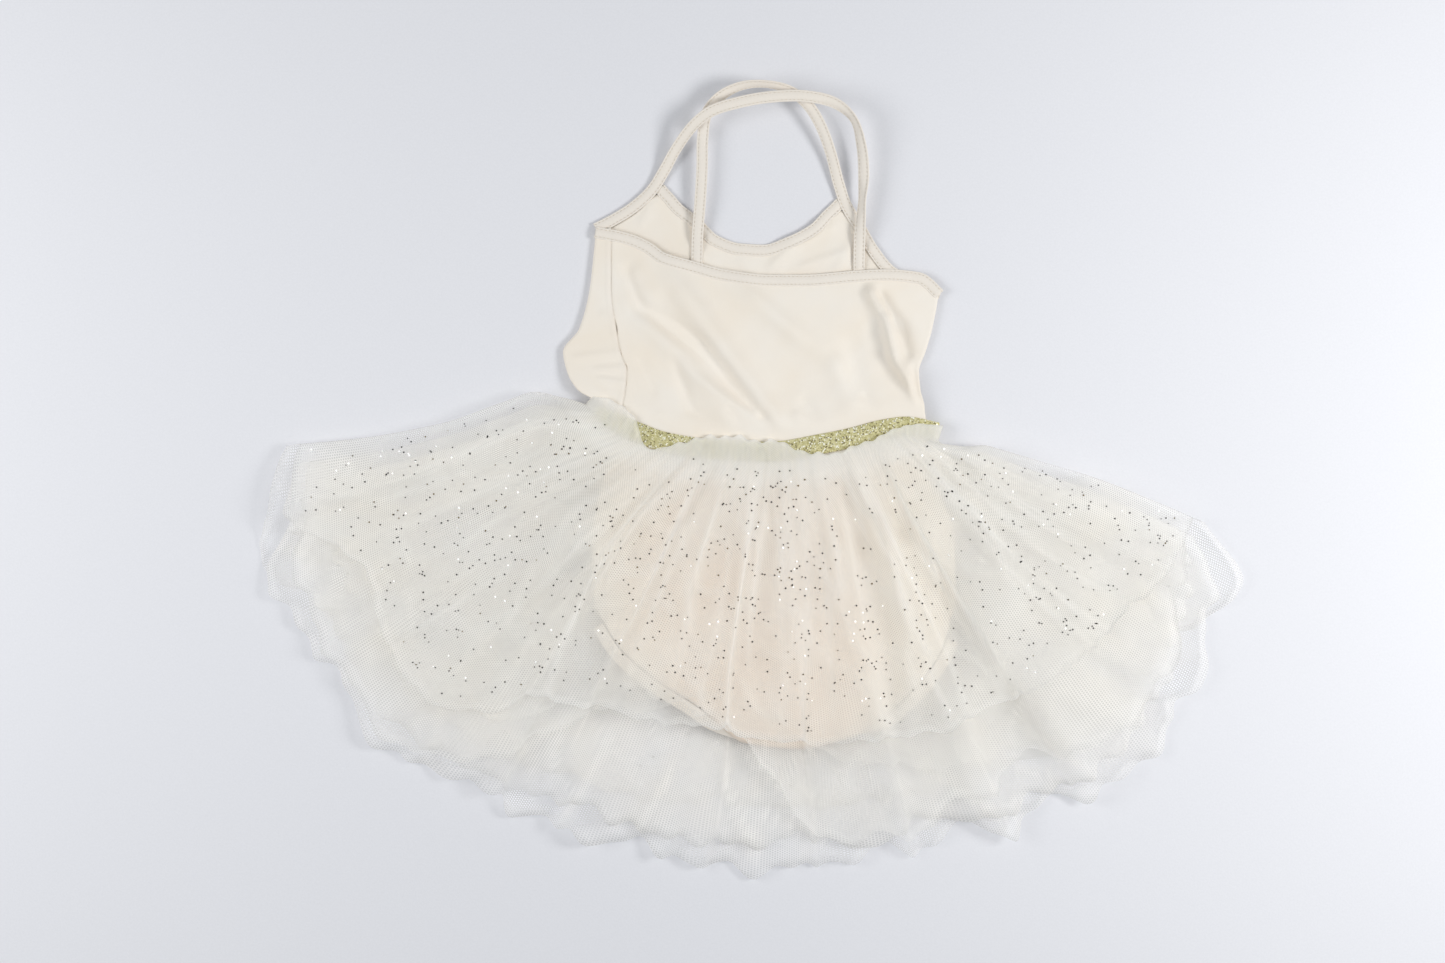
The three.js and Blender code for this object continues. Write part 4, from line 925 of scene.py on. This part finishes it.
def grid_lengths(grid):
    """A UV for each point of a grid: its length along its row and down its column, in millimetres."""
    across = np.linalg.norm(np.diff(grid, axis=1), axis=2)
    along = np.linalg.norm(np.diff(grid, axis=0), axis=2)
    u = np.concatenate([np.zeros((grid.shape[0], 1)), np.cumsum(across, axis=1)], axis=1)
    v = np.concatenate([np.zeros((1, grid.shape[1])), np.cumsum(along, axis=0)], axis=0)
    return np.stack([u - u[:, grid.shape[1] // 2 :][:, :1], v], axis=2)


def strap_line(table, count=420):
    """A smooth curve through a strap's stations: centripetal Catmull-Rom, a cubic between each pair of them
    whose slopes weigh the neighbouring steps by the root of their lengths."""
    knots = np.stack([table["x"], table["y"], table["z"]], axis=1).astype(float)
    ends = np.concatenate([[2 * knots[0] - knots[1]], knots, [2 * knots[-1] - knots[-2]]])
    root = np.sqrt(np.linalg.norm(np.diff(ends, axis=0), axis=1))[:, None]
    at = np.linspace(0, len(knots) - 1, count)
    i = np.minimum(at.astype(int), len(knots) - 2)
    t = (at - i)[:, None]
    p0, p1, p2, p3 = ends[i], ends[i + 1], ends[i + 2], ends[i + 3]
    d0, d1, d2 = root[i], root[i + 1], root[i + 2]
    first = ((p1 - p0) / d0 - (p2 - p0) / (d0 + d1) + (p2 - p1) / d1) * d1
    second = ((p2 - p1) / d1 - (p3 - p1) / (d1 + d2) + (p3 - p2) / d2) * d1
    square = 3 * (p2 - p1) - 2 * first - second
    cube = 2 * (p1 - p2) + first + second
    line = p1 + first * t + square * t**2 + cube * t**3
    table = dict(table, step=np.arange(len(knots)))
    return line, read(table, "step", "roll", at)


def even_steps(line, step):
    """Places along a line a step apart."""
    length = np.concatenate([[0], np.cumsum(np.linalg.norm(np.diff(line, axis=0), axis=1))])
    at = np.arange(step / 2, length[-1], step)
    return np.stack([np.interp(at, length, line[:, k]) for k in range(line.shape[1])], axis=1)


def stitches(name, rows, material):
    """Sewing along the bindings: each stitch is a small spindle of eight faces, laid along its row. Rows
    are pairs of a line on the tape's face and the way out of it."""
    places, ways, outs = [], [], []
    for line, out in rows:
        both = even_steps(np.concatenate([line, out], axis=1), STITCH_STEP)
        ahead = np.gradient(both[:, :3], axis=0)
        places.append(both[:, :3])
        ways.append(ahead / np.linalg.norm(ahead, axis=1, keepdims=True))
        outs.append(both[:, 3:] / np.linalg.norm(both[:, 3:], axis=1, keepdims=True))
    place, way, out = (np.concatenate(part) for part in (places, ways, outs))
    side = np.cross(way, out)
    long_half, side_half, out_half = STITCH_HALF
    forward, aside, raised = way * long_half, side * side_half, out * out_half
    corners = [forward, aside, raised, -aside, -raised, -forward]
    points = np.stack([place + corner for corner in corners], axis=1).reshape(-1, 3)
    one = np.array([[0, 1, 2], [0, 2, 3], [0, 3, 4], [0, 4, 1], [5, 2, 1], [5, 3, 2], [5, 4, 3], [5, 1, 4]])
    faces = (one[None] + 6 * np.arange(len(place))[:, None, None]).reshape(-1, 3)
    return add_piece(name, points, [faces], material)


def run_on(line, before, after, drop=0.0):
    """A line made longer at both ends, straight on, sinking by the drop."""
    first = line[0] - line[4]
    last = line[-1] - line[-5]
    start = line[0] + first / np.linalg.norm(first) * before * np.linspace(1, 0, 8)[:-1, None]
    end = line[-1] + last / np.linalg.norm(last) * after * np.linspace(0, 1, 8)[1:, None]
    start[:, 2] = line[0, 2] - drop * np.linspace(1, 0, 8)[:-1]
    end[:, 2] = line[-1, 2] - drop * np.linspace(0, 1, 8)[1:]
    return np.concatenate([start, line, end])


def edge_line(edge, lift):
    """The middle line of a binding that laps over a panel's edge."""
    _, across, _ = stations(edge)
    return edge + across * (BINDING_WIDTH / 2 - BINDING_LAP) + [0, 0, lift]


def waistband_stations():
    """The elastic: an oval ring, pressed flat, round the leotard at the waist, with its ends turned round
    half circles."""
    low, high = 5.1, 10.1
    radius = (high - low) / 2
    turn = np.radians(np.linspace(0, 180, 10)[1:-1])
    flat = np.linspace(BAND_LEFT, BAND_RIGHT, 180)
    bulge = np.sin(turn) * radius
    x = np.concatenate([flat, BAND_RIGHT + bulge, flat[::-1], BAND_LEFT - bulge])
    bend = np.concatenate([np.cos(turn), np.full(len(flat), -1.0), -np.cos(turn)])
    bend = np.concatenate([np.full(len(flat), 1.0), bend])
    side = np.concatenate([np.zeros(len(flat)), np.sin(turn), np.zeros(len(flat)), -np.sin(turn)])
    z = low + radius + bend * radius
    middle_x, middle_y, up_x, up_y = band_place(x, WAISTBAND_WIDTH / 2)
    across = np.stack([up_x, up_y, 0 * x], axis=1)
    out = np.stack([side * up_y, -side * up_x, bend], axis=1)
    out /= np.linalg.norm(out, axis=1, keepdims=True)
    return np.stack([middle_x, middle_y, z], axis=1), across, out


def leg_stations(start, end):
    """A leg binding: a ring pressed flat, along the back panel's leg edge and back along the front panel's.
    Its first 26 mm come out from inside the brief."""
    low, high, count = 8.5, 11.6, 70
    way = np.sign(end - start)
    turn = np.radians(np.linspace(0, 180, 8)[1:-1])
    flat = np.linspace(start, end, count)
    bulge = way * 1.6 * np.sin(turn)
    x = np.concatenate([flat, end + bulge, flat[::-1], start - bulge])
    bend = np.concatenate([np.full(count, 1.0), np.cos(turn), np.full(count, -1.0), -np.cos(turn)])
    side = np.concatenate([np.zeros(count), np.sin(turn), np.zeros(count), -np.sin(turn)]) * way
    slope = (read(LEGS, "x", "y", x + 2) - read(LEGS, "x", "y", x - 2)) / 4
    across = np.stack([slope, np.full(len(x), -1.0), 0 * x], axis=1)
    across /= np.linalg.norm(across, axis=1, keepdims=True)
    out = np.stack([side, side * slope, bend], axis=1)
    out /= np.linalg.norm(out, axis=1, keepdims=True)
    tucked = 1 - smoothstep(0, 26, np.abs(x - start))
    rise = (low + high) / 2 + bend * (high - low) / 2 * (1 - 0.75 * tucked)
    place = np.stack([x, read(LEGS, "x", "y", x), rise], axis=1)
    offset = (SEAM_GAP + 0.6 + BINDING_WIDTH / 2) * (1 - 1.9 * tucked[:, None])
    return place + across * offset, across, out


# Finishes


class Finish:
    """A material's nodes, with one short call to add a node and join its inputs."""

    def __init__(self, name):
        self.material = bpy.data.materials.new(name)
        self.material.use_nodes = True
        self.nodes = self.material.node_tree.nodes
        self.nodes.clear()

    def add(self, kind, inputs=None, **settings):
        """Adds a node. An input is a number, a colour, or an output of another node to join to it."""
        node = self.nodes.new(kind)
        for key, value in settings.items():
            setattr(node, key, value)
        for key, value in (inputs or {}).items():
            if isinstance(value, bpy.types.NodeSocket):
                self.material.node_tree.links.new(value, node.inputs[key])
            else:
                node.inputs[key].default_value = value
        return node

    def math(self, operation, a, b=0.0, c=0.0):
        return self.add("ShaderNodeMath", {0: a, 1: b, 2: c}, operation=operation).outputs[0]

    def ramp(self, value, low, high):
        """0 to 1 between low and high, and flat outside them."""
        return self.add("ShaderNodeMapRange", {0: value, 1: low, 2: high}, clamp=True).outputs[0]

    def blend(self, share, first, second):
        node = self.add("ShaderNodeMix", data_type="RGBA")
        for socket, value in ((node.inputs[0], share), (node.inputs[6], first), (node.inputs[7], second)):
            if isinstance(value, bpy.types.NodeSocket):
                self.material.node_tree.links.new(value, socket)
            else:
                socket.default_value = value
        return node.outputs[2]

    def finish(self, shader):
        self.add("ShaderNodeOutputMaterial", {"Surface": shader})
        return self.material


def net_finish(name, colour, warm):
    """Soft net: a honeycomb of threads that lets light through between them. The honeycomb is the sum of
    three cosines whose ways are 60° apart. Soft clouds make the cover and the warmth of its colour uneven.
    """
    f = Finish(name)
    cover = f.add("ShaderNodeAttribute", attribute_name="cover").outputs["Fac"]
    place = f.add("ShaderNodeSeparateXYZ", {0: f.add("ShaderNodeUVMap", uv_map="cloth").outputs[0]})
    u, v = place.outputs[0], place.outputs[1]
    cell = 2 * math.pi / NET_CELL
    wave_a = f.math("COSINE", f.math("MULTIPLY", u, cell))
    half_u = f.math("MULTIPLY", u, cell / 2)
    tall_v = f.math("MULTIPLY", v, cell * math.sqrt(3) / 2)
    wave_b = f.math("COSINE", f.math("ADD", half_u, tall_v))
    wave_c = f.math("COSINE", f.math("SUBTRACT", half_u, tall_v))
    honeycomb = f.math("ADD", f.math("ADD", wave_a, wave_b), wave_c)
    thread = f.ramp(honeycomb, 0.9, -0.9)
    wide_u, wide_v = f.math("MULTIPLY", u, 0.05), f.math("MULTIPLY", v, 0.025)
    spread = f.add("ShaderNodeCombineXYZ", {0: wide_u, 1: wide_v}).outputs[0]
    clouds = f.add("ShaderNodeTexNoise", {"Vector": spread, "Scale": 1.0, "Detail": 1.0}).outputs[0]
    uneven = f.add("ShaderNodeMapRange", {0: clouds, 1: 0.3, 2: 0.7, 3: 0.93, 4: 1.07}).outputs[0]
    threads = f.math("MULTIPLY_ADD", thread, 0.5, 0.75)
    alpha = f.math("MULTIPLY", f.math("MULTIPLY", cover, threads), uneven)
    tint = f.blend(f.ramp(clouds, 0.35, 0.65), colour, warm)
    cloth = f.add(
        "ShaderNodeBsdfPrincipled",
        {
            "Base Color": tint,
            "Roughness": 0.85,
            "Specular IOR Level": 0.2,
            "Sheen Weight": 0.25,
            "Sheen Roughness": 0.5,
        },
    )
    glow = f.add("ShaderNodeBsdfTranslucent", {"Color": tint})
    both = f.add("ShaderNodeMixShader", {0: 0.42, 1: cloth.outputs[0], 2: glow.outputs[0]})
    clear = f.add("ShaderNodeBsdfTransparent")
    net = f.add("ShaderNodeMixShader", {0: alpha, 1: clear.outputs[0], 2: both.outputs[0]})
    return f.finish(net.outputs[0])


def jersey_finish(name, colour, warm, brief):
    """Knitted jersey: fine columns of stitches in its bump, a soft sheen, and a warmer tone in broad
    clouds. Below the waist, as its attribute says, it takes a darker, warmer peach, which is painted shade
    of the nets over the brief."""
    f = Finish(name)
    uv = f.add("ShaderNodeUVMap", uv_map="cloth").outputs[0]
    clouds = f.add("ShaderNodeTexNoise", {"Vector": uv, "Scale": 0.02, "Detail": 3.0})
    tint = f.blend(f.ramp(clouds.outputs[0], 0.3, 0.7), colour, warm)
    # Painted shade: where this attribute says, the jersey takes a darker, warmer peach for the shade of the
    # nets over it
    below = f.add("ShaderNodeAttribute", attribute_name="below").outputs["Fac"]
    tint = f.blend(below, tint, brief)
    grain = f.add("ShaderNodeTexNoise", {"Vector": uv, "Scale": 1.3, "Detail": 2.0})
    knit = f.add("ShaderNodeTexWave", {"Vector": uv, "Scale": 0.32, "Distortion": 0.6, "Detail": 1.0})
    height = f.math("MULTIPLY_ADD", knit.outputs["Fac"], 0.5, grain.outputs[0])
    bump = f.add("ShaderNodeBump", {"Height": height, "Strength": 0.12, "Distance": 0.0004})
    shader = f.add(
        "ShaderNodeBsdfPrincipled",
        {
            "Base Color": tint,
            "Roughness": 0.62,
            "Specular IOR Level": 0.35,
            "Sheen Weight": 0.15,
            "Sheen Roughness": 0.4,
            "Normal": bump.outputs[0],
        },
    )
    return f.finish(shader.outputs[0])


def elastic_finish(name):
    """Gold glitter elastic: cells of pale gold that differ in brightness, with a few bright and dark flecks
    and an uneven bump."""
    f = Finish(name)
    place = f.add("ShaderNodeTexCoord").outputs["Object"]
    cells = f.add("ShaderNodeTexVoronoi", {"Vector": place, "Scale": 1100.0})
    spread = f.add("ShaderNodeSeparateXYZ", {0: cells.outputs["Color"]})
    base = f.blend(spread.outputs[0], (0.5, 0.455, 0.19, 1), (0.8, 0.745, 0.43, 1))
    bright = f.blend(f.ramp(spread.outputs[1], 0.88, 0.91), base, (1, 0.98, 0.85, 1))
    dark = f.blend(f.ramp(spread.outputs[2], 0.88, 0.92), bright, (0.2, 0.16, 0.07, 1))
    bump = f.add("ShaderNodeBump", {"Height": spread.outputs[1], "Strength": 0.6, "Distance": 0.0006})
    shader = f.add(
        "ShaderNodeBsdfPrincipled",
        {"Base Color": dark, "Metallic": 0.3, "Roughness": 0.42, "Normal": bump.outputs[0]},
    )
    return f.finish(shader.outputs[0])


def flake_finish(name):
    """Glitter flakes: most are painted dark, for the shade that a tilted flake reflects, some are dark gold,
    and some carry a painted glint, white and glowing by emission though they are no lamp.
    """
    f = Finish(name)
    tone = f.add("ShaderNodeAttribute", attribute_name="tone").outputs["Fac"]
    # Painted shade: low tones are near black, for the dark that a tilted flake reflects; middle tones are
    # dark gold
    painted_dark_and_gold = f.blend(f.ramp(tone, 0.8, 0.84), (0.012, 0.011, 0.01, 1), (0.14, 0.1, 0.03, 1))
    # Painted glint: the highest tones are white and glow by emission
    painted_glint = f.ramp(tone, 0.9, 0.91)
    f.material.cycles.emission_sampling = "NONE"
    shader = f.add(
        "ShaderNodeBsdfPrincipled",
        {
            "Base Color": f.blend(painted_glint, painted_dark_and_gold, (1, 1, 0.97, 1)),
            "Roughness": 0.8,
            "Specular IOR Level": 0.1,
            "Emission Color": (1, 1, 1, 1),
            "Emission Strength": f.math("MULTIPLY", painted_glint, 0.8),
        },
    )
    return f.finish(shader.outputs[0])


def plain_finish(name, colour, roughness):
    """A matt finish with a faint grain."""
    f = Finish(name)
    place = f.add("ShaderNodeTexCoord").outputs["Object"]
    grain = f.add("ShaderNodeTexNoise", {"Vector": place, "Scale": 700.0, "Detail": 2.0})
    bump = f.add("ShaderNodeBump", {"Height": grain.outputs[0], "Strength": 0.15, "Distance": 0.0003})
    shade = tuple(0.93 * part for part in colour[:3]) + (1,)
    tint = f.blend(grain.outputs[0], shade, colour)
    shader = f.add(
        "ShaderNodeBsdfPrincipled",
        {"Base Color": tint, "Roughness": roughness, "Sheen Weight": 0.2, "Normal": bump.outputs[0]},
    )
    return f.finish(shader.outputs[0])


# Building the costume

# The last colour is painted shade: the darker, warmer peach of the brief under the nets
jersey = jersey_finish("ivory jersey", (0.885, 0.83, 0.75, 1), (0.87, 0.79, 0.68, 1), (0.845, 0.73, 0.62, 1))
tape = plain_finish("ivory binding", (0.86, 0.795, 0.71, 1), 0.6)
thread = plain_finish("ivory thread", (0.76, 0.68, 0.56, 1), 0.5)
gold = elastic_finish("gold glitter elastic")
glitter_net = net_finish("glitter net", (0.99, 0.98, 0.952, 1), (0.99, 0.97, 0.93, 1))
soft_net = net_finish("soft net", (0.99, 0.979, 0.95, 1), (0.99, 0.969, 0.928, 1))
glitter = flake_finish("glitter flakes")


def place(piece, node, slot):
    """Lets a piece stand for its node, if it has one, and ride with the costume. Its slot is not used."""
    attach(piece, "root")
    if node:
        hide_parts(node)
    return piece


def build_leotard():
    back_grid = back_panel_grid()
    front_grid, floor_start = front_panel_grid()
    for name, grid in (("back", back_grid), ("front", front_grid)):
        x, y = grid[:, :, 0], grid[:, :, 1]
        # Painted shade: the jersey below the waist is marked for a darker, warmer peach, faded out to the
        # left side and towards the lit right, for the shade of the nets over it
        below = smoothstep(10, 40, waistline(x) - y) * smoothstep(-135, -50, x) * (1 - smoothstep(40, 115, x))
        painted_shade_marks = {"below": (below, below)}
        wall = cloth_wall(name + "_jersey", grid, JERSEY, jersey, grid_lengths(grid), False, painted_shade_marks)
        place(wall, name + "_panel", "jersey")
    neck_edge = front_grid[0, floor_start:]
    neck_edge = neck_edge[(neck_edge[:, 0] > -80) & (neck_edge[:, 0] < 52)]
    lines = {
        "neck_binding": (run_on(edge_line(neck_edge, 0.7), 7, 9, 0.35), 0.0),
        "back_binding": (run_on(edge_line(back_grid[0, :150], 0.5), 13, 1, 0.2), 0.0),
        "left_strap": strap_line(LEFT_STRAP),
        "right_strap": strap_line(RIGHT_STRAP),
    }
    rows = []
    for name, (line, roll) in lines.items():
        laid = stations(line, roll)
        tape_width = STRAP_WIDTH if "strap" in name else BINDING_WIDTH
        place(carried(name + "_tape", laid, tape_profile(tape_width, BINDING, 0.5), tape), name, "binding")
        for side in (-1, 1):
            off = laid[1] * side * GROOVE_AT * tape_width / 2
            rows.append((laid[0] + off + laid[2] * (BINDING / 2 - 0.2), laid[2]))
    leg_profile = tape_profile(BINDING_WIDTH, LEG_BINDING, 0.12)
    for name, start, end in (
        ("left_leg_binding", CROTCH_LEFT - 4, -122),
        ("right_leg_binding", CROTCH_RIGHT + 4, 132),
    ):
        place(carried(name + "_tape", leg_stations(start, end), leg_profile, tape, True), name, "binding")
    place(stitches("binding_stitches", rows, thread), None, "binding")
    band_profile = tape_profile(WAISTBAND_WIDTH, ELASTIC)
    band = carried("waistband_elastic", waistband_stations(), band_profile, gold, True)
    place(band, "waistband", "gold_elastic")


def build_skirt():
    for name, finish, slot in (
        ("glitter_overlay", glitter_net, "glitter_net"),
        ("outer_net", soft_net, "net"),
        ("inner_net", soft_net, "net"),
    ):
        piece, grid = net_piece(name, finish)
        place(piece, name, slot)
        if name == "glitter_overlay":
            place(flakes("glitter_flakes", grid, glitter, FLAKES, 5), None, "glitter_net")


def build_stage():
    """A pale floor, a pale sky, two soft lamps, each with its place, the place that it shines at, its size
    and its power, and the camera straight above, framed as in the photograph. The nets need more light
    bounces than usual, because the light passes through many layers."""
    floor = bpy.data.meshes.new("floor")
    size, level = 3.5, -0.0003
    corners = [(-size, -size, level), (size, -size, level), (size, size, level), (-size, size, level)]
    floor.from_pydata(corners, [], [(0, 1, 2, 3)])
    plane = bpy.data.objects.new("floor", floor)
    bpy.context.scene.collection.objects.link(plane)
    floor.materials.append(plain_finish("pale floor", (0.8, 0.8, 0.83, 1), 0.8))
    world = bpy.data.worlds.new("pale sky")
    bpy.context.scene.world = world
    world.use_nodes = True
    sky = world.node_tree.nodes["Background"]
    sky.inputs["Color"].default_value = (0.92, 0.96, 1, 1)
    sky.inputs["Strength"].default_value = 0.44
    for name, place_at, aim, size, power in (
        ("key lamp", (1.1, -0.1, 0.95), (0.25, -0.14, 0), 0.5, 11.4),
        ("fill lamp", (-1.2, -0.05, 0.9), (-0.1, -0.1, 0), 0.8, 8.4),
    ):
        lamp = bpy.data.lights.new(name, "AREA")
        lamp.shape = "DISK"
        lamp.size = size
        lamp.energy = power
        holder = bpy.data.objects.new(name, lamp)
        bpy.context.scene.collection.objects.link(holder)
        holder.location = place_at
        holder.rotation_euler = (Vector(aim) - Vector(place_at)).to_track_quat("-Z", "Y").to_euler()
    camera = bpy.data.cameras.new("camera")
    camera.sensor_width = 36
    camera.lens = 36 * CAMERA_HEIGHT / (PHOTO_WIDTH * PIXEL_MM / 1000)
    holder = bpy.data.objects.new("camera", camera)
    bpy.context.scene.collection.objects.link(holder)
    middle_x = (PHOTO_WIDTH / 2 - WAIST_PIXEL[0]) * PIXEL_MM
    middle_y = (WAIST_PIXEL[1] - PHOTO_HEIGHT / 2) * PIXEL_MM - BODICE_MIDDLE
    holder.location = (middle_x / 1000, middle_y / 1000, CAMERA_HEIGHT)
    bpy.context.scene.camera = holder
    bpy.context.scene.view_settings.view_transform = "Standard"
    cycles = bpy.context.scene.cycles
    cycles.transparent_max_bounces = 48
    cycles.max_bounces = 12
    cycles.diffuse_bounces = 8
    cycles.transmission_bounces = 10


build_stage()
build_leotard()
build_skirt()
